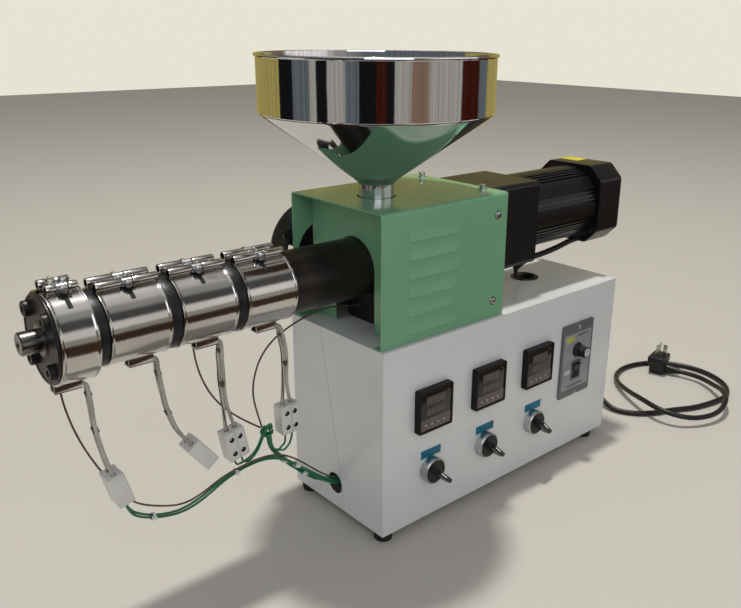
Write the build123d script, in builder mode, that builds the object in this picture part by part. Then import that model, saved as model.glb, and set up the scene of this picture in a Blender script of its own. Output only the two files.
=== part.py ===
from build123d import *
import os
from math import cos, pi, radians, sin, tan

# Desktop filament extruder: a heated barrel with four band heaters and a feed
# hopper, driven by a finned gearmotor, on a sheet-metal control cabinet.
# X runs along the barrel, nozzle at -X and motor at +X. The control face looks
# to -Y. Z is up, and Z = 0 is the table. X = 0 is the middle of the overall
# length and Y = 0 is the barrel's axis.

# Cabinet
cabinet_length = 385.0
cabinet_depth = 152.0
cabinet_height = 205.0
cabinet_sheet = 1.5
seam_gap = 0.3
seam_top_from_front = 101.0
seam_foot_from_front = 61.0
foot_height = 10.0
foot_radius = 10.5
foot_inset_left = 11.0
foot_inset_right = 24.0
foot_inset_y = 12.0
foot_taper = 6
base_thickness = 2.0
wire_hole_radius = 12.0
wire_hole_y = 4.0
wire_hole_above_base = 28.0
motor_hole_radius = 15.0
motor_hole_from_end = 301.5
motor_hole_y = 2.0

# Hood over the feed section
hood_length = 174.0
hood_width = 143.0
hood_height = 134.5
hood_sheet = 1.5
hood_start = 1.0
hood_bend_radius = 3.0
hood_flange_width = 12.0
front_wall_recess = 25.0
arch_clearance = 1.0
louvre_count = 6
louvre_length = 74.0
louvre_pitch = 19.4
louvre_height = 8.0
louvre_depth = 3.5
louvre_skin = 1.1
louvre_start = 35.0
louvre_lowest = 9.6

# Barrel and heaters
barrel_height = 65.0
barrel_radius = 30.5
barrel_bore = 15.0
bare_tube_length = 66.0
heater_length = 52.0
heater_sheet = 2.2
slip_gap = 0.2
heater_split = 9.0
lug_tube_radius = 4.2
lug_tube_wall = 1.0
lug_gap = 10.0
stub_length = 22.0
stub_setback = 7.0
stub_width = 10.0
stub_drop = 8.0
stub_wall = 1.2
spacer_width = 10.0
spacer_radius = 32.0
spacer_play = 0.3
front_heater_length = 30.0
front_lug_length = 24.0
front_heater_radius = 38.5
die_radius = 35.8
die_cap_radius = 38.0
die_cap_thickness = 2.5
die_bolt_circle_radius = 29.0
die_bolt_radius = 6.5
die_bolt_height = 4.5
nozzle_radius = 9.5
nozzle_length = 15.5
nozzle_bore = 1.5
nozzle_chamfer = 0.8
nozzle_hub_radius = 13.0
nozzle_hub_length = 1.0

# Drive
pillar_thickness = 16.0
pillar_from_end = 152.0
gearbox_width = 90.0
gearbox_drop = 6.0
gearbox_corner = 6.0
gearbox_length = 92.0
motor_axis_height = 87.5
motor_radius = 45.0
motor_length = 115.0
fin_depth = 3.0
fin_slot = 2.2
fin_groups = 8
fins_in_group = 4
fin_group_start = 17.5
fin_group_span = 24.0
fan_cover_size = 97.0
fan_cover_length = 46.0
fan_cover_corner = 26.0
fan_cover_edge = 4.0

# Hopper
hopper_from_end = 55.4
hopper_radius = 115.0
hopper_rim_lip = 1.8
hopper_rim_height = 3.0
hopper_wall = 1.2
hopper_neck_radius = 18.3
neck_hole_gap = 1.2
hopper_cone_foot = 149.5
hopper_shoulder = 217.0
hopper_top = 272.0
throat_radius = 15.0
neck_seat = 118.0
throat_collar_radius = 24.0
housing_start = 46.0
housing_half_width = 36.0
housing_height = 100.0
housing_corner = 6.0
throat_collar_overlap = 10.0

# Cooling fan on the far side of the hood
fan_radius = 50.0
fan_depth = 28.0
fan_from_end = 41.0
fan_height = 66.0
fan_wall = 3.0
fan_blade_pitch = 35.0
fan_hub_radius = 18.0
fan_hub_depth = 20.0
fan_blades = 7
fan_blade_thickness = 2.0
fan_tip_gap = 1.5
fan_strut_width = 5.0
fan_strut_depth = 4.0
fan_outlet_radius = 34.0
fan_ear_radius = 6.0
fan_screw_radius = 2.2
fan_ear_angle = 28.0

# Controls
control_pitch = 84.0
control_first = 66.0
controller_size = 48.0
controller_corner = 2.0
controller_window = 43.0
controller_window_depth = 1.2
controller_drop = 75.0
controller_bezel = 8.0
controller_body = 44.6
controller_cutout = 45.2
controller_body_depth = 70.0
selector_drop = 148.0
selector_ring_radius = 14.5
selector_ring_height = 9.5
selector_disc_radius = 12.6
selector_pocket_radius = 13.0
selector_pocket_depth = 4.5
selector_pin_length = 3.5
selector_stem_radius = 10.9
selector_hole_radius = 11.2
selector_body_depth = 30.0
lever_reach = 18.5
lever_width = 6.0
lever_height = 15.0
lever_play = 0.4
lever_rise = 0.5
panel_width = 60.0
panel_height = 95.0
panel_thickness = 2.5
panel_corner = 2.0
panel_box_width = 49.0
panel_box_height = 72.0
panel_box_gap = 0.5
panel_from_end = 311.5
panel_drop = 88.5
panel_box_depth = 60.0
knob_rise = 12.5
knob_radius = 7.5
knob_skirt_radius = 9.5
knob_height = 15.0
knob_play = 0.5
shaft_radius = 3.0
shaft_play = 0.05
rocker_drop = 14.5
rocker_width = 13.0
rocker_height = 19.0
rocker_play = 0.3
rocker_frame_margin = 2.0
rocker_frame_height = 1.0
rocker_well_depth = 8.0
rocker_end_gap = 0.6
knob_cap = 4.0
knob_skirt_height = 3.0
knob_skirt_taper = 20

# Leads, looms and the mains cord
heater_lead_radius = 3.0
loom_radius = 2.6
joined_loom_radius = 2.9
link_radius = 1.3
thermocouple_radius = 0.9
motor_cable_radius = 3.5
mains_cord_radius = 3.5
block_length = 31.0
block_width = 22.0
block_thickness = 15.0
block_corner = 2.0
wire_hole_pitch = 11.0
wire_entry_radius = 2.3
wire_entry_depth = 8.0
knot_length = 14.0
knot_depth = 12.0
gland_y = 38.0
gland_z = 38.0
gland_neck_radius = 6.5
gland_flange_radius = 9.5
gland_flange_depth = 4.0
gland_length = 26.0
gland_tip_radius = 4.6
plug_relief_length = 20.0
plug_relief_radius = 7.0
plug_width = 30.0
plug_depth = 26.0
plug_height = 18.0
plug_head_width = 34.0
plug_head_height = 11.0
plug_corner = 4.0
plug_pin_length = 18.0
plug_pin_width = 6.3
plug_pin_thickness = 1.5
plug_pin_pitch = 12.7
plug_earth_pin_from_middle = 8.0

# Places worked out from the sizes
heater_step = heater_length + spacer_width
nozzle_reach = (bare_tube_length + 3 * heater_step + front_heater_length
                + die_cap_thickness + nozzle_hub_length + nozzle_length)
motor_reach = (pillar_from_end + pillar_thickness + gearbox_length + motor_length
               + fan_cover_length)
left_x = nozzle_reach - (nozzle_reach + motor_reach) / 2
right_x = left_x + cabinet_length
front_y = -cabinet_depth / 2
back_y = cabinet_depth / 2
deck_z = foot_height + cabinet_height
seam_top_y = front_y + seam_top_from_front
seam_foot_y = front_y + seam_foot_from_front
axis_z = deck_z + barrel_height
motor_z = deck_z + motor_axis_height
hopper_x = left_x + hopper_from_end
pillar_x = left_x + pillar_from_end
gearbox_x = pillar_x + pillar_thickness
motor_x = gearbox_x + gearbox_length
fan_cover_x = motor_x + motor_length
heater_radius = barrel_radius + slip_gap + heater_sheet
hood_x = left_x + hood_start
hood_top_z = deck_z + hood_height
front_wall_x = hood_x + front_wall_recess
controller_z = deck_z - controller_drop
selector_z = deck_z - selector_drop
panel_x = left_x + panel_from_end
panel_z = deck_z - panel_drop
control_xs = [left_x + control_first + i * control_pitch for i in range(3)]
wire_hole_z = foot_height + wire_hole_above_base
tube_front_x = left_x - bare_tube_length - 3 * heater_step - front_heater_length
die_face_x = tube_front_x - die_cap_thickness
heater_starts = [left_x - bare_tube_length - heater_length - i * heater_step for i in range(3)]
fan_x = left_x + fan_from_end
fan_z = deck_z + fan_height
hood_side_y = hood_width / 2

os.makedirs("parts", exist_ok=True)


def write_piece(piece, name):
    piece.part.label = name
    export_step(piece.part, f"parts/{name}.step")


def end_plane(x):
    """A plane across the barrel at x, with its own X along Y and its Y up."""
    return Plane(origin=(x, 0, 0), x_dir=(0, 1, 0), z_dir=(1, 0, 0))


def face_plane(y):
    """A plane at y that looks to -Y, with X along X and its own Y up."""
    return Plane(origin=(0, y, 0), x_dir=(1, 0, 0), z_dir=(0, -1, 0))


def bend_radii(points):
    """At each inner point, 0.45 of the shorter run over the tangent of half the turn."""
    runs = [Vector(b) - Vector(a) for a, b in zip(points, points[1:])]
    bends = []
    for before, after in zip(runs, runs[1:]):
        half_turn = radians(before.get_angle(after) / 2)
        bends.append(0.45 * min(before.length, after.length) / tan(half_turn))
    return bends


def add_tube(points, radius, name):
    """A tube along straight runs joined by tangent arcs, added to the open part."""
    bends = bend_radii(points)
    with BuildLine() as route:
        FilletPolyline(*points, radius=bends)
    with BuildSketch(Plane(origin=points[0], z_dir=Vector(points[1]) - Vector(points[0]))) as section:
        Circle(radius)
    path = route.wire()
    swept = sweep(section.sketch, path=path)
    print(name, "bend radii", [round(bend) for bend in bends], "length", round(path.length),
          "volume over section times length", round(swept.volume / (pi * radius**2 * path.length), 4))


def past_end(points, distance):
    """The point at a distance beyond a route's end, straight on."""
    end = Vector(points[-1])
    return tuple(end + (end - Vector(points[-2])).normalized() * distance)


# Cabinet front shell: control face, top and ends bent from one sheet
with BuildPart() as cabinet_front_shell:
    with BuildSketch(end_plane(left_x)):
        with BuildLine():
            Polyline((front_y, foot_height), (front_y, deck_z), (seam_top_y, deck_z),
                     (seam_foot_y, foot_height), close=True)
        make_face()
    extrude(amount=cabinet_length)
    with BuildSketch(end_plane(left_x + cabinet_sheet)):
        with Locations((cabinet_sheet, foot_height + cabinet_height / 2 - cabinet_sheet)):
            Rectangle(cabinet_depth, cabinet_height)
    extrude(amount=cabinet_length - 2 * cabinet_sheet, mode=Mode.SUBTRACT)
    with BuildSketch(face_plane(front_y)):
        with Locations(*[(x, controller_z) for x in control_xs]):
            Rectangle(controller_cutout, controller_cutout)
        with Locations(*[(x, selector_z) for x in control_xs]):
            Circle(selector_hole_radius)
        with Locations((panel_x, panel_z)):
            Rectangle(panel_box_width + 2 * panel_box_gap, panel_box_height + 2 * panel_box_gap)
    extrude(amount=-cabinet_sheet, mode=Mode.SUBTRACT)
    with BuildSketch(Plane.XY.offset(deck_z)):
        with Locations((left_x + motor_hole_from_end, motor_hole_y)):
            Circle(motor_hole_radius)
    extrude(amount=-cabinet_sheet, mode=Mode.SUBTRACT)
write_piece(cabinet_front_shell, "cabinet_front_shell")

# Cabinet rear shell: back, the rest of the top and the rest of the ends
with BuildPart() as cabinet_rear_shell:
    with BuildSketch(end_plane(left_x)):
        with BuildLine():
            Polyline((back_y, foot_height), (back_y, deck_z), (seam_top_y + seam_gap, deck_z),
                     (seam_foot_y + seam_gap, foot_height), close=True)
        make_face()
    extrude(amount=cabinet_length)
    with BuildSketch(end_plane(left_x + cabinet_sheet)):
        with Locations((-cabinet_sheet, foot_height + cabinet_height / 2 - cabinet_sheet)):
            Rectangle(cabinet_depth, cabinet_height)
    extrude(amount=cabinet_length - 2 * cabinet_sheet, mode=Mode.SUBTRACT)
    with BuildSketch(end_plane(left_x)):
        with Locations((wire_hole_y, wire_hole_z)):
            Circle(wire_hole_radius)
    extrude(amount=cabinet_sheet, mode=Mode.SUBTRACT)
write_piece(cabinet_rear_shell, "cabinet_rear_shell")

# Base plate inside the shells
with BuildPart() as cabinet_base:
    with BuildSketch(Plane.XY.offset(foot_height)):
        with Locations((left_x + cabinet_length / 2, 0)):
            Rectangle(cabinet_length - 2 * cabinet_sheet - 2 * seam_gap,
                      cabinet_depth - 2 * cabinet_sheet - 2 * seam_gap)
    extrude(amount=base_thickness)
write_piece(cabinet_base, "cabinet_base")

# Four rubber feet
with BuildPart() as feet:
    with BuildSketch(Plane.XY.offset(foot_height)):
        for x in (left_x + foot_inset_left, right_x - foot_inset_right):
            for y in (front_y + foot_inset_y, back_y - foot_inset_y):
                with Locations((x, y)):
                    Circle(foot_radius)
    extrude(amount=-foot_height, taper=foot_taper)
write_piece(feet, "feet")

# Hood: top and sides bent from one sheet, the near side louvred, with feet turned inward
fan_plane = Plane(origin=(fan_x, hood_side_y, fan_z), x_dir=(-1, 0, 0), z_dir=(0, 1, 0))
louvre_x = left_x + louvre_start
louvre_zs = [deck_z + louvre_lowest + i * louvre_pitch for i in range(louvre_count)]
with BuildPart() as hood_cover:
    with BuildSketch(end_plane(hood_x)):
        with Locations((0, deck_z + hood_height / 2)):
            Rectangle(hood_width, hood_height)
        corners = vertices().group_by(Axis.Z)[-1]
        fillet(corners, hood_bend_radius)
    extrude(amount=hood_length)
    with BuildSketch(end_plane(hood_x)):
        with Locations((0, deck_z + (hood_height - hood_sheet) / 2)):
            Rectangle(hood_width - 2 * hood_sheet, hood_height - hood_sheet)
    extrude(amount=hood_length, mode=Mode.SUBTRACT)
    with BuildSketch(end_plane(hood_x)):
        with Locations(*[(side * (hood_side_y - hood_flange_width / 2 - hood_sheet / 2), deck_z + hood_sheet / 2)
                         for side in (-1, 1)]):
            Rectangle(hood_flange_width - hood_sheet, hood_sheet)
    extrude(amount=hood_length)
    with BuildSketch(Plane.XY.offset(hood_top_z)):
        with Locations((hopper_x, 0)):
            Circle(hopper_neck_radius + neck_hole_gap)
    extrude(amount=-hood_sheet, mode=Mode.SUBTRACT)
    for z in louvre_zs:
        with BuildSketch(end_plane(louvre_x)):
            with BuildLine():
                Line((-hood_side_y, z), (-hood_side_y - louvre_depth, z))
                EllipticalCenterArc((-hood_side_y, z), louvre_depth, louvre_height, start_angle=90, arc_size=90)
                Line((-hood_side_y, z + louvre_height), (-hood_side_y, z))
            make_face()
        extrude(amount=louvre_length)
        with BuildSketch(end_plane(louvre_x + hood_sheet)):
            with BuildLine():
                inner_y = hood_sheet - hood_side_y
                inner_depth = louvre_depth + hood_sheet - louvre_skin
                inner_height = louvre_height - louvre_skin
                Line((inner_y, z), (inner_y - inner_depth, z))
                EllipticalCenterArc((inner_y, z), inner_depth, inner_height, start_angle=90, arc_size=90)
                Line((inner_y, z + inner_height), (inner_y, z))
            make_face()
        extrude(amount=louvre_length - 2 * hood_sheet, mode=Mode.SUBTRACT)
    with BuildSketch(fan_plane):
        Circle(fan_outlet_radius)
    extrude(amount=-2 * hood_sheet, mode=Mode.SUBTRACT)
write_piece(hood_cover, "hood_cover")

# Front wall of the hood, set back inside it, with the arch over the barrel
arch_radius = barrel_radius + arch_clearance
with BuildPart() as hood_front_wall:
    with BuildSketch(end_plane(front_wall_x)):
        wall_width = hood_width - 2 * hood_sheet - 2 * seam_gap
        wall_height = hood_height - hood_sheet - seam_gap
        with Locations((0, deck_z + wall_height / 2)):
            Rectangle(wall_width, wall_height)
        with Locations(*[(side * (wall_width - hood_flange_width) / 2, deck_z + hood_sheet / 2)
                         for side in (-1, 1)]):
            Rectangle(hood_flange_width + 2 * seam_gap, hood_sheet + 2 * seam_gap, mode=Mode.SUBTRACT)
        with Locations((0, axis_z)):
            Circle(arch_radius, mode=Mode.SUBTRACT)
        with Locations((0, (deck_z + axis_z) / 2)):
            Rectangle(2 * arch_radius, barrel_height, mode=Mode.SUBTRACT)
    extrude(amount=hood_sheet)
write_piece(hood_front_wall, "hood_front_wall")

# Pillar plate that carries the gearbox, the feed housing and the hood's rear end
with BuildPart() as pillar_plate:
    with BuildSketch(end_plane(pillar_x)):
        plate_width = hood_width - 2 * hood_sheet - 2 * seam_gap
        with Locations((0, deck_z + hood_sheet + seam_gap + (hood_height - 2 * hood_sheet - 2 * seam_gap) / 2)):
            Rectangle(plate_width, hood_height - 2 * hood_sheet - 2 * seam_gap)
        with Locations((0, deck_z + hood_sheet)):
            Rectangle(plate_width - 2 * hood_flange_width, 2 * hood_sheet)
    extrude(amount=pillar_thickness)
write_piece(pillar_plate, "pillar_plate")

# Feed housing: black casting that holds the barrel and carries the hopper's neck
with BuildPart() as feed_housing:
    with BuildSketch(end_plane(left_x + housing_start)):
        with Locations((0, deck_z + housing_height / 2)):
            RectangleRounded(2 * housing_half_width, housing_height, housing_corner)
    extrude(amount=pillar_from_end - housing_start)
    with BuildSketch(Plane.XY.offset(axis_z)):
        with Locations((hopper_x, 0)):
            Circle(throat_collar_radius)
    extrude(amount=neck_seat - barrel_height + throat_collar_overlap)
    with BuildSketch(end_plane(left_x)):
        with Locations((0, axis_z)):
            Circle(barrel_radius + slip_gap)
    extrude(amount=pillar_from_end, mode=Mode.SUBTRACT)
    with BuildSketch(Plane.XY.offset(axis_z)):
        with Locations((hopper_x, 0)):
            Circle(throat_radius)
    extrude(amount=hood_height, mode=Mode.SUBTRACT)
    with BuildSketch(Plane.XY.offset(deck_z + neck_seat)):
        with Locations((hopper_x, 0)):
            Circle(hopper_neck_radius + slip_gap)
    extrude(amount=hood_height, mode=Mode.SUBTRACT)
write_piece(feed_housing, "feed_housing")

# Barrel tube with the feed throat cut through its top
tube_length = left_x + pillar_from_end - tube_front_x
with BuildPart() as barrel_tube:
    with BuildSketch(end_plane(tube_front_x)):
        with Locations((0, axis_z)):
            Circle(barrel_radius)
            Circle(barrel_bore, mode=Mode.SUBTRACT)
    extrude(amount=tube_length)
    with BuildSketch(Plane.XY.offset(axis_z)):
        with Locations((hopper_x, 0)):
            Circle(throat_radius)
    extrude(amount=2 * barrel_radius, mode=Mode.SUBTRACT)
write_piece(barrel_tube, "barrel_tube")


def band_heater(start, length, radius, inner_radius, lug_length, name):
    """A split band of rolled sheet with a rolled lug at each edge of the split."""
    half_split = heater_split / 2
    lug_y = half_split + lug_tube_radius
    lug_z = axis_z + (radius**2 - lug_y**2) ** 0.5 + lug_tube_radius - lug_tube_wall
    with BuildPart() as heater:
        with BuildSketch(end_plane(start)):
            with Locations((0, axis_z)):
                Circle(radius)
                Circle(inner_radius, mode=Mode.SUBTRACT)
            with Locations((0, axis_z + radius)):
                Rectangle(heater_split, radius, mode=Mode.SUBTRACT)
        extrude(amount=length)
        with BuildSketch(end_plane(start + (length - lug_length) / 2)):
            with Locations(*[(side * lug_y, lug_z) for side in (-1, 1)]):
                Circle(lug_tube_radius)
        extrude(amount=lug_length)
        with BuildSketch(end_plane(start + (length - lug_length) / 2)):
            with Locations(*[(side * lug_y, lug_z) for side in (-1, 1)]):
                Circle(lug_tube_radius - lug_tube_wall)
        extrude(amount=lug_length, mode=Mode.SUBTRACT)
        with BuildSketch(face_plane(0)):
            with Locations((start + length / 2, lug_z + lug_tube_wall)):
                Rectangle(lug_gap, 2 * lug_tube_radius)
        extrude(amount=radius / 2, both=True, mode=Mode.SUBTRACT)
        stub_start = start + length - stub_setback - stub_length
        with BuildSketch(end_plane(stub_start)):
            with Locations((0, axis_z - radius - stub_drop / 2 + stub_wall / 2)):
                Rectangle(stub_width, stub_drop + stub_wall)
            with Locations((0, axis_z - radius - stub_drop / 2 + stub_wall / 2)):
                Rectangle(stub_width - 2 * stub_wall, stub_drop - stub_wall, mode=Mode.SUBTRACT)
        extrude(amount=stub_length)
        with BuildSketch(end_plane(start)):
            with Locations((0, axis_z)):
                Circle(inner_radius)
        extrude(amount=length, mode=Mode.SUBTRACT)
    write_piece(heater, name)


# Four band heaters, numbered from the nozzle
for number, start in zip((4, 3, 2), heater_starts):
    band_heater(start, heater_length, heater_radius, barrel_radius + slip_gap, heater_length,
                f"band_heater_{number}")
band_heater(tube_front_x, front_heater_length, front_heater_radius, die_radius + slip_gap,
            front_lug_length, "band_heater_1")

# Black spacer rings between the heaters
with BuildPart() as spacer_rings:
    for start in heater_starts:
        with BuildSketch(end_plane(start - spacer_width + spacer_play)):
            with Locations((0, axis_z)):
                Circle(spacer_radius)
                Circle(barrel_radius + slip_gap, mode=Mode.SUBTRACT)
        extrude(amount=spacer_width - 2 * spacer_play)
write_piece(spacer_rings, "spacer_rings")

# Die head: a sleeve under the front heater with a bolted cap
with BuildPart() as die_flange:
    with BuildSketch(end_plane(tube_front_x)):
        with Locations((0, axis_z)):
            Circle(die_radius)
            Circle(barrel_radius + slip_gap, mode=Mode.SUBTRACT)
    extrude(amount=front_heater_length)
    with BuildSketch(end_plane(tube_front_x)):
        with Locations((0, axis_z)):
            Circle(die_cap_radius)
    extrude(amount=-die_cap_thickness)
    with BuildSketch(end_plane(die_face_x)):
        with Locations((0, axis_z)):
            with PolarLocations(die_bolt_circle_radius, 4, start_angle=45):
                Circle(die_bolt_radius)
    extrude(amount=-die_bolt_height)
    with BuildSketch(end_plane(die_face_x)):
        with Locations((0, axis_z)):
            Circle(nozzle_bore)
    extrude(amount=die_cap_thickness, mode=Mode.SUBTRACT)
write_piece(die_flange, "die_flange")

# Turned nozzle
with BuildPart() as nozzle:
    with BuildSketch(end_plane(die_face_x)):
        with Locations((0, axis_z)):
            Circle(nozzle_hub_radius)
    extrude(amount=-nozzle_hub_length)
    with BuildSketch(end_plane(die_face_x - nozzle_hub_length)):
        with Locations((0, axis_z)):
            Circle(nozzle_radius)
    extrude(amount=-nozzle_length)
    with BuildSketch(end_plane(die_face_x)):
        with Locations((0, axis_z)):
            Circle(nozzle_bore)
    extrude(amount=-nozzle_hub_length - nozzle_length, mode=Mode.SUBTRACT)
    chamfer(nozzle.faces().sort_by(Axis.X)[0].outer_wire().edges(), nozzle_chamfer)
write_piece(nozzle, "nozzle")

# Gearbox, with its output below the motor's axis
with BuildPart() as gearbox:
    with BuildSketch(end_plane(gearbox_x)):
        with Locations((0, motor_z - gearbox_drop / 2)):
            RectangleRounded(gearbox_width, gearbox_width + gearbox_drop, gearbox_corner)
    extrude(amount=gearbox_length)
write_piece(gearbox, "gearbox")

# Motor body with groups of cooling grooves along it
with BuildPart() as motor_body:
    with BuildSketch(end_plane(motor_x)):
        with Locations((0, motor_z)):
            Circle(motor_radius)
            for group in range(fin_groups):
                with PolarLocations(motor_radius, fins_in_group, angular_range=fin_group_span,
                                    start_angle=group * 360 / fin_groups + fin_group_start):
                    Rectangle(2 * fin_depth, fin_slot, mode=Mode.SUBTRACT)
    extrude(amount=motor_length)
write_piece(motor_body, "motor_body")

# Fan cover at the motor's rear end
with BuildPart() as motor_fan_cover:
    with BuildSketch(end_plane(fan_cover_x)):
        with Locations((0, motor_z)):
            RectangleRounded(fan_cover_size, fan_cover_size, fan_cover_corner)
    extrude(amount=fan_cover_length)
    fillet(motor_fan_cover.edges().group_by(Axis.X)[-1], fan_cover_edge)
write_piece(motor_fan_cover, "motor_fan_cover")

# Hopper: rim, cylinder, cone and neck spun from one sheet
with BuildPart() as hopper:
    with BuildSketch(Plane.XZ.offset(0)):
        with BuildLine():
            inner_r = hopper_radius - hopper_wall
            inner_neck = hopper_neck_radius - hopper_wall
            Polyline((hopper_x + hopper_neck_radius, deck_z + neck_seat),
                     (hopper_x + hopper_neck_radius, deck_z + hopper_cone_foot),
                     (hopper_x + hopper_radius, deck_z + hopper_shoulder),
                     (hopper_x + hopper_radius, deck_z + hopper_top - hopper_rim_height),
                     (hopper_x + hopper_radius + hopper_rim_lip, deck_z + hopper_top - hopper_rim_height),
                     (hopper_x + hopper_radius + hopper_rim_lip, deck_z + hopper_top),
                     (hopper_x + inner_r, deck_z + hopper_top),
                     (hopper_x + inner_r, deck_z + hopper_shoulder + 0.4),
                     (hopper_x + inner_neck, deck_z + hopper_cone_foot + 0.4),
                     (hopper_x + inner_neck, deck_z + neck_seat), close=True)
        make_face()
    revolve(axis=Axis((hopper_x, 0, 0), (0, 0, 1)))
write_piece(hopper, "hopper")

# Round cooling fan on the far side of the hood, blowing in through its opening
with BuildPart() as cooling_fan:
    with BuildSketch(fan_plane):
        Circle(fan_radius)
        Circle(fan_radius - fan_wall, mode=Mode.SUBTRACT)
    extrude(amount=fan_depth)
    with BuildSketch(fan_plane):
        for angle in (fan_ear_angle, 180 - fan_ear_angle, 180 + fan_ear_angle, -fan_ear_angle):
            with PolarLocations(fan_radius, 1, start_angle=angle):
                Circle(fan_ear_radius)
                Circle(fan_screw_radius, mode=Mode.SUBTRACT)
        Circle(fan_radius - fan_wall, mode=Mode.SUBTRACT)
    extrude(amount=fan_strut_depth)
    with BuildSketch(fan_plane.offset(fan_depth - fan_hub_depth)):
        Circle(fan_hub_radius)
    extrude(amount=fan_hub_depth)
    with BuildSketch(fan_plane.offset(fan_depth - fan_strut_depth)):
        with PolarLocations((fan_hub_radius + fan_radius - fan_wall) / 2, 4, start_angle=45):
            Rectangle(fan_radius - fan_wall - fan_hub_radius + 2, fan_strut_width)
    extrude(amount=fan_strut_depth)
    blade_depth = fan_depth - fan_strut_depth - fan_hub_depth / 2
    for number in range(fan_blades):
        angle = radians(number * 360 / fan_blades)
        foot = (fan_x + (fan_hub_radius - 1) * cos(angle), hood_side_y + blade_depth,
                fan_z + (fan_hub_radius - 1) * sin(angle))
        chord = (-sin(angle) * cos(radians(fan_blade_pitch)), sin(radians(fan_blade_pitch)),
                 cos(angle) * cos(radians(fan_blade_pitch)))
        with BuildSketch(Plane(origin=foot, x_dir=chord, z_dir=(cos(angle), 0, sin(angle)))):
            Rectangle(fan_hub_radius, fan_blade_thickness)
        extrude(amount=fan_radius - fan_wall - fan_tip_gap - fan_hub_radius)
write_piece(cooling_fan, "cooling_fan")

# Three temperature controllers set into the control face
for number, x in enumerate(control_xs, 1):
    with BuildPart() as controller:
        with BuildSketch(face_plane(front_y)):
            with Locations((x, controller_z)):
                RectangleRounded(controller_size, controller_size, controller_corner)
        extrude(amount=controller_bezel)
        with BuildSketch(face_plane(front_y - controller_bezel)):
            with Locations((x, controller_z)):
                Rectangle(controller_window, controller_window)
        extrude(amount=-controller_window_depth, mode=Mode.SUBTRACT)
        with BuildSketch(face_plane(front_y)):
            with Locations((x, controller_z)):
                Rectangle(controller_body, controller_body)
        extrude(amount=-controller_body_depth)
    write_piece(controller, f"controller_{number}")

# Three selector switches: a metal ring with a pocket and a pin, on a stem through the control face
ring_face_y = front_y - selector_ring_height
pocket_floor_y = ring_face_y + selector_pocket_depth
with BuildPart() as selector_switches:
    for x in control_xs:
        with BuildSketch(face_plane(front_y)):
            with Locations((x, selector_z)):
                Circle(selector_ring_radius)
        extrude(amount=selector_ring_height)
    chamfer(selector_switches.faces().group_by(Axis.Y)[0].edges(), 1)
    for x in control_xs:
        with BuildSketch(face_plane(ring_face_y)):
            with Locations((x, selector_z)):
                Circle(selector_pocket_radius)
        extrude(amount=-selector_pocket_depth, mode=Mode.SUBTRACT)
        with BuildSketch(face_plane(front_y)):
            with Locations((x, selector_z)):
                Circle(selector_stem_radius)
        extrude(amount=-selector_body_depth)
        with BuildSketch(face_plane(pocket_floor_y)):
            with Locations((x, selector_z)):
                Circle(shaft_radius)
        extrude(amount=selector_pin_length)
write_piece(selector_switches, "selector_switches")

# Their black levers: a disc that turns in the pocket under a bar that reaches over the ring
for number, x in enumerate(control_xs, 1):
    with BuildPart() as selector_lever:
        with BuildSketch(face_plane(pocket_floor_y - lever_play)):
            with Locations((x, selector_z)):
                Circle(selector_disc_radius)
        extrude(amount=selector_pocket_depth - lever_play + lever_rise)
        with BuildSketch(Plane(origin=(x, ring_face_y - lever_rise, selector_z),
                               x_dir=(cos(radians(45)), 0, -sin(radians(45))), z_dir=(0, -1, 0))):
            with Locations(((lever_reach - selector_disc_radius) / 2, 0)):
                RectangleRounded(lever_reach + selector_disc_radius, lever_width, lever_width / 3)
        extrude(amount=lever_height)
        with BuildSketch(face_plane(pocket_floor_y - lever_play)):
            with Locations((x, selector_z)):
                Circle(shaft_radius + shaft_play)
        extrude(amount=selector_pin_length, mode=Mode.SUBTRACT)
    write_piece(selector_lever, f"selector_lever_{number}")

# Speed controller: panel plate with its box behind the control face
panel_face_y = front_y - panel_thickness
knob_z = panel_z + knob_rise
rocker_z = panel_z - rocker_drop
with BuildPart() as speed_panel:
    with BuildSketch(face_plane(front_y)):
        with Locations((panel_x, panel_z)):
            RectangleRounded(panel_width, panel_height, panel_corner)
    extrude(amount=panel_thickness)
    with BuildSketch(face_plane(front_y)):
        with Locations((panel_x, panel_z)):
            Rectangle(panel_box_width, panel_box_height)
    extrude(amount=-panel_box_depth)
    with BuildSketch(face_plane(panel_face_y)):
        with Locations((panel_x, rocker_z)):
            Rectangle(rocker_width + 2 * rocker_frame_margin, rocker_height + 2 * rocker_frame_margin)
    extrude(amount=rocker_frame_height)
    with BuildSketch(face_plane(panel_face_y - rocker_frame_height)):
        with Locations((panel_x, rocker_z)):
            Rectangle(rocker_width + 2 * rocker_play, rocker_height + 2 * rocker_play)
    extrude(amount=-rocker_well_depth, mode=Mode.SUBTRACT)
    with BuildSketch(face_plane(panel_face_y)):
        with Locations((panel_x, knob_z)):
            Circle(shaft_radius)
    extrude(amount=knob_height - knob_cap)
write_piece(speed_panel, "speed_panel")

# Speed knob on the panel's shaft
with BuildPart() as speed_knob:
    with BuildSketch(face_plane(panel_face_y - knob_play)):
        with Locations((panel_x, knob_z)):
            Circle(knob_skirt_radius)
    extrude(amount=knob_skirt_height, taper=knob_skirt_taper)
    with BuildSketch(face_plane(panel_face_y - knob_play)):
        with Locations((panel_x, knob_z)):
            Circle(knob_radius)
    extrude(amount=knob_height)
    with BuildSketch(face_plane(panel_face_y - knob_play)):
        with Locations((panel_x, knob_z)):
            Circle(shaft_radius + shaft_play)
    extrude(amount=knob_height - knob_cap, mode=Mode.SUBTRACT)
write_piece(speed_knob, "speed_knob")

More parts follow.
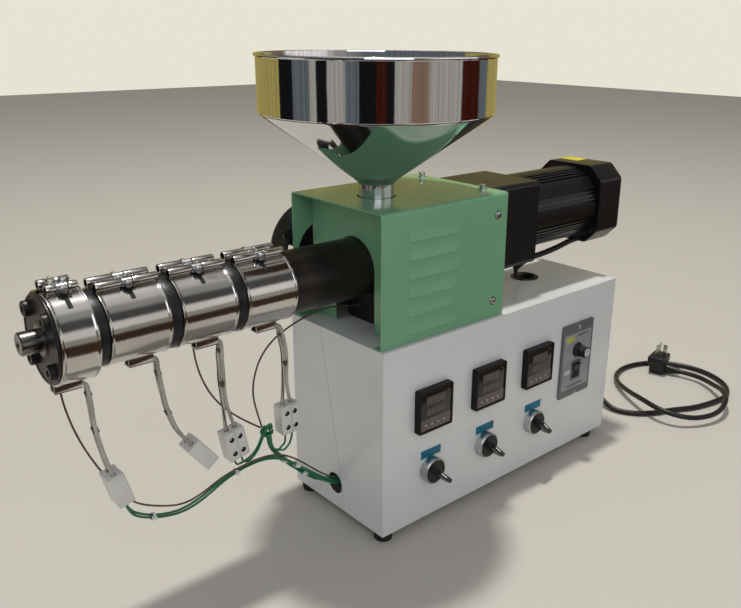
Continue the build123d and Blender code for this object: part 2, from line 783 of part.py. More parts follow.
# Rocker switch in the panel's frame, a wedge that tips about its middle
with BuildPart() as rocker_switch:
    with BuildSketch(Plane(origin=(panel_x - rocker_width / 2, panel_face_y - rocker_frame_height, rocker_z),
                           x_dir=(0, 0, 1), z_dir=(1, 0, 0))):
        with BuildLine():
            half = rocker_height / 2 - rocker_end_gap
            Polyline((-half, 1.2), (0, 0.4), (half, 2.6), (half, -2), (0, -4), (-half, -2), close=True)
        make_face()
    extrude(amount=rocker_width)
write_piece(rocker_switch, "rocker_switch")

# Heater leads: each leaves its heater's stub and drops to a terminal block
lead_1 = [(-327, 0, 238), (-314.4, 0, 238), (-313.4, 0, 223), (-312.5, 0, 199), (-309.2, 0, 170.2), (-303, 0, 147)]
lead_2 = [(-265, 0, 243.6), (-252.4, 0, 243.6), (-252.8, 0, 229), (-250, 0, 205), (-246, 0, 184), (-240, 0, 165),
          (-229, 0, 150)]
lead_3 = [(-203, 0, 243.6), (-190.4, 0, 243.6), (-191.5, 0, 229), (-191.7, 0, 205), (-191, 0, 177), (-186, 0, 149.3)]
lead_4 = [(-141, 0, 243.6), (-128.4, 0, 243.6), (-124.5, 0, 228), (-121, 0, 206), (-123.2, 0, 181), (-122, 0, 156)]
leads = [lead_1, lead_2, lead_3, lead_4]
for number, points in enumerate(leads, 1):
    with BuildPart() as heater_lead:
        add_tube(points, heater_lead_radius, f"heater_lead_{number}")
    write_piece(heater_lead, f"heater_lead_{number}")

# Ceramic terminal blocks at the leads' ends: the first two seen edge on, the last two face on
with BuildPart() as terminal_blocks:
    for number, points in enumerate(leads, 1):
        axis = Vector(points[-1]) - Vector(points[-2])
        across = Vector(0, 1, 0) if number <= 2 else Vector(0, 1, 0).cross(axis)
        entry = Plane(origin=points[-1], x_dir=across, z_dir=axis)
        with BuildSketch(entry):
            RectangleRounded(block_width, block_thickness, block_corner)
        extrude(amount=block_length)
        with BuildSketch(entry):
            with GridLocations(wire_hole_pitch, 1, 2, 1):
                Circle(wire_entry_radius)
        extrude(amount=wire_entry_depth, mode=Mode.SUBTRACT)
write_piece(terminal_blocks, "terminal_blocks")

# Green loom from the first block along to the wiring hole in the cabinet's end
with BuildPart() as green_loom_1:
    add_tube([past_end(lead_1, block_length), past_end(lead_1, block_length + 14),
              (-280, 0, 93.5), (-262, 0, 86), (-240, 0, 82.5), (-218, 0, 88), (-197, 0, 98), (-175, 0, 104),
              (-153, 0, 105), (-133, 0, 98.5), (-113, 0, 84), (-94, 0, 66), (-76, 0, 50), (-59, 0, 40.5),
              (-42, 0, 37.5)], loom_radius, "green_loom_1")
write_piece(green_loom_1, "green_loom_1")

# Knot of green wire between the third and fourth blocks, with a wire to each
knot_x, knot_y, knot_z = -143, 4, 131
with BuildPart() as loom_knot:
    with BuildSketch(Plane.XY.offset(knot_z - knot_depth / 2)):
        with Locations((knot_x, knot_y)):
            RectangleRounded(knot_length, knot_depth, 3)
    extrude(amount=knot_depth)
    add_tube([past_end(lead_3, block_length), past_end(lead_3, block_length + 8), (-173.5, 4, 105.8),
              (-165, 6, 105), (-157, 6.5, 109), (-151, 6, 117), (-148, 5.5, 127)], link_radius, "knot wire 3")
    add_tube([past_end(lead_4, block_length), past_end(lead_4, block_length + 11), (-126, 2, 105.5),
              (-134, 2.5, 105.8), (-140, 2.5, 112), (-141.5, 2, 127)], link_radius, "knot wire 4")
write_piece(loom_knot, "loom_knot")

# Green loom from the knot to the wiring hole
with BuildPart() as green_loom_2:
    add_tube([(-140, 6.5, 125), (-140, 6.5, 115), (-134.5, 7, 104), (-124, 8, 91), (-111, 8.3, 77.5), (-97, 8.3, 63.5),
              (-80, 7.5, 50), (-61, 7, 42), (-42, 6.5, 40)], joined_loom_radius, "green_loom_2")
write_piece(green_loom_2, "green_loom_2")

# Braided thermocouple leads: two from the barrel, one from the feed housing
with BuildPart() as thermocouple_1:
    add_tube([(-333, 9, 243.5), (-332.5, 9.5, 230), (-330, 10.5, 211), (-324, 12, 187), (-316, 13.5, 165),
              (-307.5, 14, 146), (-298, 13.5, 128), (-290, 12.5, 113), (-280, 7, 103), (-263, 2.5, 95.5),
              (-240, 0, 88.5), (-219, 0, 92.6), (-198, -1, 102.4), (-175.5, -3.5, 107.6), (-152.5, -3.5, 108.7),
              (-131, -2, 102.5), (-110.5, 0, 88), (-91.5, 0, 69.8), (-73.5, 0, 54.2), (-57.5, 0, 45), (-41, 0, 42)],
             thermocouple_radius, "thermocouple_1")
write_piece(thermocouple_1, "thermocouple_1")
with BuildPart() as thermocouple_2:
    add_tube([(-214, 8, 249), (-213.5, 8, 232), (-210, 8, 212), (-203, 8.5, 193), (-193, 9, 176), (-180, 9.5, 161),
              (-165, 9, 147), (-148, 8, 134)], thermocouple_radius, "thermocouple_2")
write_piece(thermocouple_2, "thermocouple_2")
with BuildPart() as thermocouple_3:
    add_tube([(-14, 0, 238), (-32, 0, 238), (-50, 1.5, 242), (-69, 3.5, 243), (-89, 5.5, 239), (-109, 7.5, 232.5),
              (-128, 9, 223), (-143, 9, 209), (-152, 8.5, 191), (-155, 8, 172), (-152, 7.5, 154), (-147, 7, 135)],
             thermocouple_radius, "thermocouple_3")
write_piece(thermocouple_3, "thermocouple_3")

# Motor cable under the motor and down into the cabinet
motor_hole_x = left_x + motor_hole_from_end
cable_from_cover = [(0, -22, -44.8), (-15, -22, -44.8), (-39, -20.5, -49.5), (-65, -18.5, -53.5), (-89, -17, -55)]
cable_to_hole = [(-30.5, -15, 26.5), (-34.5, -10, 16), (-26.5, -6, 9.5), (-13.5, -2, 5.5), (-3.5, 0, -9)]
with BuildPart() as motor_cable:
    under_motor = [(fan_cover_x + x, y, motor_z + z) for x, y, z in cable_from_cover]
    into_hole = [(motor_hole_x + x, motor_hole_y + y, deck_z + z) for x, y, z in cable_to_hole]
    add_tube(under_motor + into_hole, motor_cable_radius, "motor_cable")
write_piece(motor_cable, "motor_cable")

# Strain relief where the mains cord leaves the cabinet's end
with BuildPart() as cord_gland:
    with BuildSketch(end_plane(right_x)):
        with Locations((gland_y, gland_z)):
            Circle(gland_flange_radius)
    extrude(amount=gland_flange_depth)
    with BuildSketch(end_plane(right_x + gland_flange_depth)):
        with Locations((gland_y, gland_z)):
            Circle(gland_neck_radius)
    with BuildSketch(end_plane(right_x + gland_length)):
        with Locations((gland_y, gland_z)):
            Circle(gland_tip_radius)
    loft()
write_piece(cord_gland, "cord_gland")

# Mains cord: round the cabinet's corner, a wide loop on the table, then over itself to the plug
mains_route = [(right_x + gland_length, gland_y, gland_z), (372, 38, 38), (394, 29, 34), (405, 12, 28),
               (403, -10, 19), (392, -32, 9), (387, -56, 3.8), (401, -82, 3.8), (424, -98, 3.8), (450, -108, 3.8),
               (480, -125, 3.8), (512, -133, 3.8), (549, -138, 3.8), (583, -122, 3.8), (605, -90, 3.8),
               (611, -52, 3.8), (598, -14, 3.8), (568, 12, 3.8), (530, 22, 3.8), (494, 14, 4.6), (464, -8, 8),
               (439, -42, 13), (418, -80, 19.3), (408, -109, 19.3), (415, -136, 16), (437, -154, 12),
               (472, -165, 13), (507, -158, 19.3), (532, -140, 19.3), (551, -117, 14), (567, -95, 10),
               (574, -72, 9), (569, -50, 9)]
with BuildPart() as mains_cord:
    add_tube(mains_route, mains_cord_radius, "mains_cord")
write_piece(mains_cord, "mains_cord")

# Moulded plug lying on its back, its pins up
plug_axis = Vector(mains_route[-1]) - Vector(mains_route[-2])
plug_plane = Plane(origin=mains_route[-1], x_dir=plug_axis.cross(Vector(0, 0, 1)), z_dir=plug_axis)
plug_middle = Vector(past_end(mains_route, plug_relief_length + plug_depth / 2))
with BuildPart() as mains_plug:
    with BuildSketch(plug_plane):
        Circle(gland_tip_radius)
    with BuildSketch(plug_plane.offset(plug_relief_length)):
        Circle(plug_relief_radius)
    loft()
    with BuildSketch(plug_plane.offset(plug_relief_length)):
        RectangleRounded(plug_width, plug_height, plug_corner)
    extrude(amount=plug_depth)
    with BuildSketch(Plane(origin=plug_middle + Vector(0, 0, plug_height / 2), x_dir=plug_axis, z_dir=(0, 0, 1))):
        RectangleRounded(plug_depth, plug_head_width, plug_corner)
    extrude(amount=plug_head_height)
write_piece(mains_plug, "mains_plug")

# Its three flat pins
with BuildPart() as plug_pins:
    with BuildSketch(Plane(origin=plug_middle + Vector(0, 0, plug_height / 2 + plug_head_height),
                           x_dir=plug_axis, z_dir=(0, 0, 1))):
        with Locations((plug_earth_pin_from_middle, 0)):
            Rectangle(plug_pin_width, plug_pin_thickness)
        for side in (-1, 1):
            with Locations(Location((-plug_pin_thickness, side * plug_pin_pitch / 2, 0), (0, 0, side * 30))):
                Rectangle(plug_pin_width, plug_pin_thickness)
    extrude(amount=plug_pin_length)
write_piece(plug_pins, "plug_pins")
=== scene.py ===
import functools
import random
from math import asin, copysign, cos, degrees, pi, radians, sin, sqrt, tan

import bmesh
import bpy
from mathutils import Matrix, Vector


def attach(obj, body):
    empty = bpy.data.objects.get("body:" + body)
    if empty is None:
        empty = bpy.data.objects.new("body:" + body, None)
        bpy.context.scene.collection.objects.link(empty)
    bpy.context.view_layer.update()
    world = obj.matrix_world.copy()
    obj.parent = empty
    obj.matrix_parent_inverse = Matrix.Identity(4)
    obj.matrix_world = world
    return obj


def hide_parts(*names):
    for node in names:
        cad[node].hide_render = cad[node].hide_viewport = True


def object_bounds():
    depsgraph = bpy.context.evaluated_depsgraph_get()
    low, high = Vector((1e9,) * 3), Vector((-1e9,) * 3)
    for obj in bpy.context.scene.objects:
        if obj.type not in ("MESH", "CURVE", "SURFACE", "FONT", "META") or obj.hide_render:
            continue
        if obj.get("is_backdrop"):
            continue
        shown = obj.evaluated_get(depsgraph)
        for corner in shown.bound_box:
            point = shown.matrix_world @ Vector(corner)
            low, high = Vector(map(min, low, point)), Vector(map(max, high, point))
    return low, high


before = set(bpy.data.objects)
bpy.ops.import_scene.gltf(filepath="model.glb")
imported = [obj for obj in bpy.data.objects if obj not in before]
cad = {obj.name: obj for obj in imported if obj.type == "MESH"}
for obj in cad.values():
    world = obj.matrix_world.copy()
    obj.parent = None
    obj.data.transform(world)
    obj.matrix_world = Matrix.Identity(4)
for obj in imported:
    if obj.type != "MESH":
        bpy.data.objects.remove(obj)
cad_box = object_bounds()
mm = 0.001

# The extruder stands on a pale table in a plain room. One lamp hangs right above it, so its top
# surfaces carry short shadows, and the room fills in the rest.


def add_object(name, data):
    """A new object in the scene."""
    made = bpy.data.objects.new(name, data)
    bpy.context.scene.collection.objects.link(made)
    return made


def feed(tree, target, inputs):
    """Sets each input of a node to a value, or links it to another node or to one of its outputs."""
    for socket, value in inputs.items():
        if isinstance(value, bpy.types.Node):
            value = value.outputs[0]
        if isinstance(value, bpy.types.NodeSocket):
            tree.links.new(value, target.inputs[socket])
        else:
            target.inputs[socket].default_value = value


def add_node(tree, kind, inputs, **settings):
    """A new shader node with its settings and inputs."""
    made = tree.nodes.new("ShaderNode" + kind)
    for name, value in settings.items():
        setattr(made, name, value)
    feed(tree, made, inputs)
    return made


table_mesh = bpy.data.meshes.new("table")
table_mesh.from_pydata([(-6, -6, 0), (6, -6, 0), (6, 6, 0), (-6, 6, 0)], [], [(0, 1, 2, 3)])
table = add_object("table", table_mesh)
table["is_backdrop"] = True

# The table is pale and dull. Polished steel mirrors only the near part of it, and beyond that the
# dark floor of the room.
mirrored_middle, mirrored_reach = (0.05, 0.50, 0), 0.92
table_finish = bpy.data.materials.new("pale_table")
table_finish.use_nodes = True
table_tree = table_finish.node_tree
table_node = functools.partial(add_node, table_tree)
pale_surface = table_tree.nodes["Principled BSDF"]
feed(table_tree, pale_surface, {"Base Color": (0.49, 0.457, 0.40, 1), "Roughness": 0.55})
spot = table_node("NewGeometry", {}).outputs["Position"]
away = table_node("VectorMath", {0: spot, 1: mirrored_middle}, operation="DISTANCE")
beyond_reach = table_node("Math", {0: away.outputs["Value"], 1: mirrored_reach}, operation="GREATER_THAN")
mirrored = table_node("LightPath", {}).outputs["Is Glossy Ray"]
left_out = table_node("Math", {0: beyond_reach, 1: mirrored}, operation="MULTIPLY")
clear = table_node("BsdfTransparent", {})
table_surface = table_node("MixShader", {0: left_out, 1: pale_surface, 2: clear})
feed(table_tree, table_tree.nodes["Material Output"], {"Surface": table_surface})
table.data.materials.append(table_finish)

# What polished metal mirrors: walls with doors and windows as upright bands of light and dark
# round the horizon, under a pale ceiling. Dull surfaces and the camera get a plain room.
yellow_wall = (0.42, 0.35, 0.11)
white_wall = (0.42, 0.40, 0.36)
grey_wall = (0.13, 0.15, 0.16)
dark_doorway = (0.008, 0.008, 0.01)
red_door = (0.05, 0.01, 0.006)
wooden_frame = (0.26, 0.17, 0.12)
bright_window = (1.0, 0.98, 0.94)
dark_floor = (0.06, 0.035, 0.02, 1)
room_stripes = [
    (-180, dark_doorway), (-177, white_wall), (-160, grey_wall), (-147, dark_doorway), (-131, red_door),
    (-122, dark_doorway), (-114, white_wall), (-99, wooden_frame), (-82, white_wall), (-45, red_door),
    (-20, grey_wall), (-5, yellow_wall), (127, dark_doorway), (145, grey_wall), (165, white_wall),
    (172, dark_doorway)]
room_windows = [
    (-180, grey_wall), (-120, grey_wall), (-85, white_wall), (-72, bright_window), (-28, bright_window),
    (-22, wooden_frame), (-6, wooden_frame), (0, yellow_wall), (125, yellow_wall), (130, grey_wall),
    (180, grey_wall)]
room_heights = [
    (0.0, (0.10, 0.10, 0.10)), (0.40, (0.09, 0.09, 0.092)), (0.64, (0.10, 0.10, 0.10)),
    (0.72, (0.40, 0.40, 0.39)), (0.84, (0.45, 0.45, 0.44)), (0.90, (0.85, 0.85, 0.83))]

room = bpy.data.worlds.new("room")
bpy.context.scene.world = room
room.use_nodes = True
room_tree = room.node_tree
room_node = functools.partial(add_node, room_tree)
room_tree.nodes.clear()
view = room_node("SeparateXYZ", {0: room_node("TexCoord", {}).outputs["Generated"]})
turned_by = room_node("Math", {0: view.outputs["Y"], 1: view.outputs["X"]}, operation="ARCTAN2")
round_share = room_node("MapRange", {"Value": turned_by, "From Min": -pi, "From Max": pi})


def colour_steps(steps, along, first=0.0, span=1.0, change="LINEAR"):
    """Colours along a value that runs from first over span: each step is a place and its colour."""
    made = room_node("ValToRGB", {0: along})
    made.color_ramp.interpolation = change
    stops = made.color_ramp.elements
    stops.remove(stops[1])
    for number, (at, colour) in enumerate(steps):
        stop = stops.new((at - first) / span) if number else stops[0]
        stop.color = (*colour, 1)
    return made


def above(height, soft, lower, upper):
    """Goes over from one colour to the other at a height of the view."""
    share = room_node("MapRange", {"Value": view.outputs["Z"], "From Min": height - soft,
                                   "From Max": height + soft})
    both = room_node("Mix", {"Factor": share, "A": lower, "B": upper}, data_type="RGBA")
    return both.outputs["Result"]


walls = above(-0.19, 0.03, dark_floor, colour_steps(room_stripes, round_share, -180, 360, "CONSTANT"))
walls = above(0.03, 0.02, walls, colour_steps(room_windows, round_share, -180, 360))
walls = above(0.35, 0.05, walls, colour_steps(room_heights, view.outputs["Z"]))
streaks = room_node("TexNoise", {"W": turned_by, "Scale": 26, "Detail": 4}, noise_dimensions="1D")
streak_shade = room_node("MapRange", {"Value": streaks, "From Min": 0.3, "From Max": 0.7,
                                      "To Min": 0.62, "To Max": 1.12})
streaked = room_node("VectorMath", {0: walls, "Scale": streak_shade}, operation="SCALE")
room_mirrored = room_node("Background", {"Color": streaked})
room_light = room_node("Background", {"Color": (0.93, 0.95, 1.0, 1), "Strength": 0.46})
room_seen = room_node("Background", {"Color": (0.80, 0.77, 0.66, 1)})
rays = room_node("LightPath", {}).outputs
unseen = room_node("MixShader", {0: rays["Is Glossy Ray"], 1: room_light, 2: room_mirrored})
room_surface = room_node("MixShader", {0: rays["Is Camera Ray"], 1: unseen, 2: room_seen})
room_node("OutputWorld", {"Surface": room_surface})

# The lamps: a small bright one high over the machine, and a wide weak one to the camera's left.
# Each points from its place to its aim.
for name, size, power, at, aim, colour in (
        ("ceiling_lamp", (0.24, 0.24), 118, (0.31, 0.44, 4.0), (0.05, 0.0, 0.2), (1.0, 0.98, 0.95)),
        ("fill_lamp", (1.6, 1.2), 11, (-0.95, -1.7, 1.3), (0.0, 0.0, 0.25), (0.92, 0.96, 1.0))):
    light = bpy.data.lights.new(name, "AREA")
    light.shape = "RECTANGLE"
    light.size, light.size_y = size
    light.energy = power
    light.color = colour
    lamp = add_object(name, light)
    lamp.location = at
    lamp.rotation_euler = (Vector(at) - Vector(aim)).to_track_quat("Z", "Y").to_euler()

# The camera looks down on the control face from its left, where the photo was taken. Its turn,
# tilt and roll are in radians, and its lens is a normal one.
eye = Vector((-524.6, -611.0, 510.2)) * mm
turn, tilt, roll = 0.725, 0.33, 0.008
ahead = Vector((sin(turn) * cos(tilt), cos(turn) * cos(tilt), -sin(tilt)))
level_right = Vector((cos(turn), -sin(turn), 0))
level_up = level_right.cross(ahead)
right = level_right * cos(roll) + level_up * sin(roll)
up = right.cross(ahead)
camera_data = bpy.data.cameras.new("camera")
camera_data.sensor_fit = "HORIZONTAL"
camera_data.sensor_width = 36
camera_data.lens = 39.07
camera_data.shift_x = -0.0281
camera_data.shift_y = -0.0019
camera_data.clip_start = 0.02
camera = add_object("camera", camera_data)
camera.matrix_world = Matrix.Translation(eye) @ Matrix((right, up, -ahead)).transposed().to_4x4()
bpy.context.scene.camera = camera
bpy.context.scene.view_settings.view_transform = "Standard"

# The mains cord is round black PVC flex, 7 mm across. It leaves a ribbed strain relief low on
# the cabinet's far end, comes round the corner on to the table and lies there in one wide loop.


def finish(name, colour, roughness, metallic=0.0, coat=0.0, spread=0.12, grain=900, bump=0.02, second=None,
           stretch=None, shine=0.5, wave=0.0):
    """A surface whose colour, gloss and relief vary as the real one's do, from noise in space."""
    made = bpy.data.materials.new(name)
    made.use_nodes = True
    tree = made.node_tree
    node = functools.partial(add_node, tree)
    where = node("TexCoord", {}).outputs["Object"]
    if stretch:
        where = node("Mapping", {"Vector": where, "Scale": stretch})
    cloud = node("TexNoise", {"Vector": where, "Scale": grain / 30, "Detail": 4})
    share = node("MapRange", {"Value": cloud, "From Min": 0.38, "From Max": 0.68})
    other = second or tuple(c * (1 - spread) for c in colour)
    shade = node("Mix", {"Factor": share, "A": (*colour, 1), "B": (*other, 1)}, data_type="RGBA")
    gloss = node("MapRange", {"Value": cloud, "To Min": roughness * 0.85, "To Max": min(1, roughness * 1.2)})
    fine = node("TexNoise", {"Vector": where, "Scale": grain, "Detail": 3})
    relief = node("Bump", {"Height": fine, "Strength": bump, "Distance": 0.001})
    if wave:
        dents = node("TexNoise", {"Vector": where, "Scale": 22, "Detail": 1})
        uneven = node("Bump", {"Height": dents, "Strength": wave, "Distance": 0.004})
        feed(tree, relief, {"Normal": uneven})
    feed(tree, tree.nodes["Principled BSDF"], {
        "Base Color": shade.outputs["Result"], "Roughness": gloss, "Metallic": metallic, "Normal": relief,
        "Specular IOR Level": shine, "Coat Weight": coat, "Coat Roughness": 0.08})
    return made


def place(piece, slot, *stands_for, body="frame"):
    """Puts a finished piece on its body and hides the nodes it stands for. Its slot is not used."""
    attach(piece, body)
    if stands_for:
        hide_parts(*stands_for)
    return piece


def route_curve(name, points, radius, material=None):
    """A round wire whose smooth line has the route's points, in millimetres, as its control points."""
    line = bpy.data.curves.new(name, "CURVE")
    line.dimensions = "3D"
    line.resolution_u = 8
    line.bevel_depth = radius * mm
    line.bevel_resolution = 5
    line.use_fill_caps = True
    if material:
        line.materials.append(material)
    spline = line.splines.new("NURBS")
    spline.points.add(len(points) - 1)
    for held, point in zip(spline.points, points):
        held.co = (*(Vector(point) * mm), 1)
    spline.order_u = 3
    spline.use_endpoint_u = True
    return add_object(name, line)


mains_points = [
    (351, 38, 38), (372, 38, 38), (394, 29, 34), (405, 12, 28), (403, -10, 19), (392, -32, 9),
    (387, -56, 3.8), (401, -82, 3.8), (424, -98, 3.8), (450, -108, 3.8), (480, -125, 3.8),
    (512, -133, 3.8), (549, -138, 3.8), (583, -122, 3.8), (605, -90, 3.8), (611, -52, 3.8),
    (598, -14, 3.8), (568, 12, 3.8), (530, 22, 3.8), (494, 14, 4.6), (464, -8, 8), (439, -42, 13),
    (418, -80, 19.3), (408, -109, 19.3), (415, -136, 16), (437, -154, 12), (472, -165, 13),
    (507, -158, 19.3), (532, -140, 19.3), (551, -117, 14), (567, -95, 10), (574, -72, 9), (569, -50, 9)]
flex_finish = finish("black_flex", (0.012, 0.011, 0.011), 0.34, grain=700, bump=0.05, shine=0.35)
mains_cord = route_curve("mains_flex", mains_points, 3.5, flex_finish)
place(mains_cord, "cable_black", "mains_cord")

# Heater leads: each band heater has two glass-fibre sleeved wires side by side, with a thin black strand
# along one side of them and two wraps of brown tape. They spread into a terminal block.
along_y = Vector((0, 1, 0))


def follow(points):
    """The places along a route's smooth line, close together, in metres."""
    thin = route_curve("route_line", points, 0)
    bpy.context.view_layer.update()
    line = bpy.data.meshes.new_from_object(thin.evaluated_get(bpy.context.evaluated_depsgraph_get()))
    places = [v.co.copy() for v in line.vertices]
    bpy.data.objects.remove(thin)
    bpy.data.meshes.remove(line)
    return places


def run_of(places):
    """How long the way along the places is."""
    return sum((b - a).length for a, b in zip(places, places[1:]))


def way_along(places, first_side=along_y, last_side=along_y):
    """A station at each place, in millimetres: the place, the way along, and two ways across."""
    stations = []
    for number, here in enumerate(places):
        before, after = places[max(number - 1, 0)], places[min(number + 1, len(places) - 1)]
        ahead = (after - before).normalized()
        share = number / (len(places) - 1)
        side = first_side.lerp(last_side, share * share * (3 - 2 * share))
        across = (side - ahead * side.dot(ahead)).normalized()
        stations.append((here / mm, ahead, across, ahead.cross(across)))
    return stations


def circle(sides):
    """Cosine and sine of the corners of a round with so many sides."""
    return [(cos(2 * pi * k / sides), sin(2 * pi * k / sides)) for k in range(sides)]


def add_ring(shape, points):
    """New vertices at points in millimetres."""
    return [shape.verts.new(Vector(point) * mm) for point in points]


def add_skin(shape, lines, material=0, closing="ends"):
    """Faces from each ring of points to the next, closed by its "ends", as a "loop", or left "open"."""
    rings = [add_ring(shape, line) for line in lines]
    for end in (rings[0][::-1], rings[-1]):
        if closing == "ends" and len(end) > 2:
            shape.faces.new(end).material_index = material
    for ring, following in zip(rings, rings[1:] + (rings[:1] if closing == "loop" else [])):
        sides = max(len(ring), len(following))
        for k in range(sides):
            far = (k + 1) % sides
            corners = [ring[k % len(ring)], ring[far % len(ring)], following[far % len(following)],
                       following[k % len(following)]]
            kept = [v for n, v in enumerate(corners) if v not in corners[:n]]
            if len(kept) > 2:
                shape.faces.new(kept).material_index = material


def add_strand(shape, stations, radius, shift, sides=8, material=0):
    """A round strand along the stations; shift(share) gives how far it stands across and out."""
    rings = []
    for number, (here, _, across, out) in enumerate(stations):
        sideways, outward = shift(number / (len(stations) - 1))
        rings.append([here + across * (sideways + c * radius) + out * (outward + s * radius)
                      for c, s in circle(sides)])
    add_skin(shape, rings, material)


def mesh_piece(name, shape, materials, crease=35):
    """Closes a shape into an object with its edges sharper than crease degrees kept crisp."""
    bmesh.ops.recalc_face_normals(shape, faces=shape.faces)
    mesh = bpy.data.meshes.new(name)
    shape.to_mesh(mesh)
    shape.free()
    mesh.shade_smooth()
    mesh.set_sharp_from_angle(angle=radians(crease))
    for material in materials:
        mesh.materials.append(material)
    return add_object(name, mesh)


lead_points = [[(x, 0, z) for x, z in line] for line in (
    [(-327, 238), (-314.4, 238), (-313.4, 223), (-312.5, 199), (-309.2, 170.2), (-303, 147)],
    [(-265, 243.6), (-252.4, 243.6), (-252.8, 229), (-250, 205), (-246, 184), (-240, 165), (-229, 150)],
    [(-203, 243.6), (-190.4, 243.6), (-191.5, 229), (-191.7, 205), (-191, 177), (-186, 149.3)],
    [(-141, 243.6), (-128.4, 243.6), (-124.5, 228), (-121, 206), (-123.2, 181), (-122, 156)])]
sleeve_radius, wrap_radius, black_strand_radius = 1.75, 2.9, 0.55
sleeve_finish = finish("glass_fibre_sleeve", (0.46, 0.43, 0.37), 0.85, grain=1400, bump=0.6,
                       second=(0.30, 0.27, 0.22))
tape_finish = finish("brown_tape", (0.10, 0.062, 0.042), 0.6, grain=900, bump=0.3)
block_long, block_wide, block_thick, hole_pitch = 31, 22, 15, 9.2
heater_leads = []
for number, points in enumerate(lead_points, 1):
    places = follow(points)
    axis = (Vector(points[-1]) - Vector(points[-2])).normalized()
    along_row = along_y if number <= 2 else along_y.cross(axis)
    stations = way_along(places, along_y, along_row)
    shape = bmesh.new()
    for side in (-1, 1):
        def spread(share):
            opening = max(0.0, (share - 0.86) / 0.14) ** 1.5
            wave = sin(share * 17 + number + side) * 0.25
            return side * (sleeve_radius + 0.1 + opening * (hole_pitch / 2 - sleeve_radius)), wave
        add_strand(shape, stations, sleeve_radius, spread, 10)
    add_strand(shape, stations, black_strand_radius,
               lambda share: (3.2 + 0.3 * sin(share * 21), -1.1), 6, 1)
    for wrap in (0.30, 0.66):
        first = int(wrap * len(stations))
        wrapped = stations[first:first + max(3, len(stations) // 14)]
        add_strand(shape, wrapped, wrap_radius, lambda share: (0.3, share - 0.5), 9, 2)
    lead = mesh_piece(f"lead_{number}_sleeves", shape, [sleeve_finish, flex_finish, tape_finish], 60)
    place(lead, "lead_sleeve", f"heater_lead_{number}")
    heater_leads.append((lead, places, axis, along_row))

# Terminal blocks: two-pole blocks of white porcelain, one on each heater lead. Each pole is a
# brass tube with two clamp screws that sit in wells of the glazed body.


def add_box(shape, low, high, bevel=0.0, material=0, segments=2, lay=Matrix()):
    """A box from corner to corner in millimetres, with rounded edges, laid as the matrix says."""
    made = bmesh.ops.create_cube(shape, size=1)["verts"]
    low, high = Vector(low), Vector(high)
    for v in made:
        corner = Vector([(low[k] + high[k]) / 2 + v.co[k] * (high[k] - low[k]) for k in range(3)])
        v.co = lay @ corner * mm
    for face in {f for v in made for f in v.link_faces}:
        face.material_index = material
    if bevel:
        edges = list({e for v in made for e in v.link_edges})
        bmesh.ops.bevel(shape, geom=edges, offset=bevel * mm, segments=segments, profile=0.6,
                        affect="EDGES", material=material)


def add_turned(shape, outline, start, way, sides=24, material=0, closing="ends"):
    """A turned solid: the outline holds (radius, distance along) pairs from start, in millimetres."""
    way = Vector(way).normalized()
    across = way.orthogonal().normalized()
    out = way.cross(across)
    rings = []
    for radius, along in outline:
        middle = Vector(start) + way * along
        corners = circle(sides) if radius else [(0, 0)]
        rings.append([middle + (across * c + out * s) * radius for c, s in corners])
    add_skin(shape, rings, material, closing)


def add_rod(shape, radius, length, start, way, sides=24):
    """A plain round rod."""
    add_turned(shape, [(0, 0), (radius, 0), (radius, length), (0, length)], start, way, sides)


def add_screw(shape, foot, way, radius, material=0, slot_material=1, tall=0.55, cross=True):
    """A pan head with a rounded crown, and a cross or slot let into it, coloured near-black as painted shade.
    """
    way = Vector(way).normalized()
    height = radius * tall
    crown = [(1, 0), (1, 0.35), (0.86, 0.8), (0.5, 1), (0, 1)]
    add_turned(shape, [(radius * r, height * h) for r, h in crown], foot, way, 20, material)
    across = way.orthogonal().normalized()
    top = Vector(foot) + way * (height + 0.02)
    for direction in ((across, way.cross(across)) if cross else (across,)):
        side = way.cross(direction)
        corners = [top + direction * a * radius * 0.55 + side * b * radius * 0.10
                   for a, b in ((-1, -1), (1, -1), (1, 1), (-1, 1))]
        floor = [corner - way * height * 0.3 for corner in corners]
        add_skin(shape, [corners, floor], slot_material)


def cut(piece, cutter):
    """Cuts the cutter's shape out of a piece."""
    step = piece.modifiers.new("cut", "BOOLEAN")
    step.operation = "DIFFERENCE"
    step.object = cutter
    step.solver = "EXACT"
    bpy.context.view_layer.update()
    mesh = bpy.data.meshes.new_from_object(piece.evaluated_get(bpy.context.evaluated_depsgraph_get()))
    piece.modifiers.clear()
    piece.data = mesh
    bpy.data.objects.remove(cutter)
    return piece


def laid(at, turn_by, axis):
    """The way to lay a form: its place in millimetres, and its turn about an axis."""
    return Matrix.Translation(at) @ Matrix.Rotation(turn_by, 4, axis)


def reopen(piece):
    """A shape with the piece's mesh, to build on. The piece itself goes."""
    shape = bmesh.new()
    shape.from_mesh(piece.data)
    bpy.data.objects.remove(piece)
    return shape


porcelain = finish("glazed_porcelain", (0.60, 0.59, 0.555), 0.24, coat=0.4, grain=500, bump=0.05,
                   second=(0.54, 0.525, 0.485))
brass = finish("dull_brass", (0.42, 0.33, 0.20), 0.38, metallic=1.0, grain=1200, bump=0.08)
zinc = finish("zinc_plate", (0.62, 0.63, 0.64), 0.27, metallic=1.0, grain=1500, bump=0.06)
# Near-black painted shade, put where holes, wells, screw slots and openings would lie in shade.
painted_gap_shade = finish("painted_gap_shade", (0.008, 0.008, 0.008), 0.8)
upward = Vector((0, 0, 1))
pole_xs = (-hole_pitch / 2, hole_pitch / 2)
screw_zs = (0.25 * block_long, 0.75 * block_long)
block_front = -block_thick / 2
shape = bmesh.new()
add_box(shape, (-block_wide / 2, block_front, 0), (block_wide / 2, -block_front, block_long), 1.8, 0, 3)
block_body = mesh_piece("block_body", shape, [porcelain, painted_gap_shade])
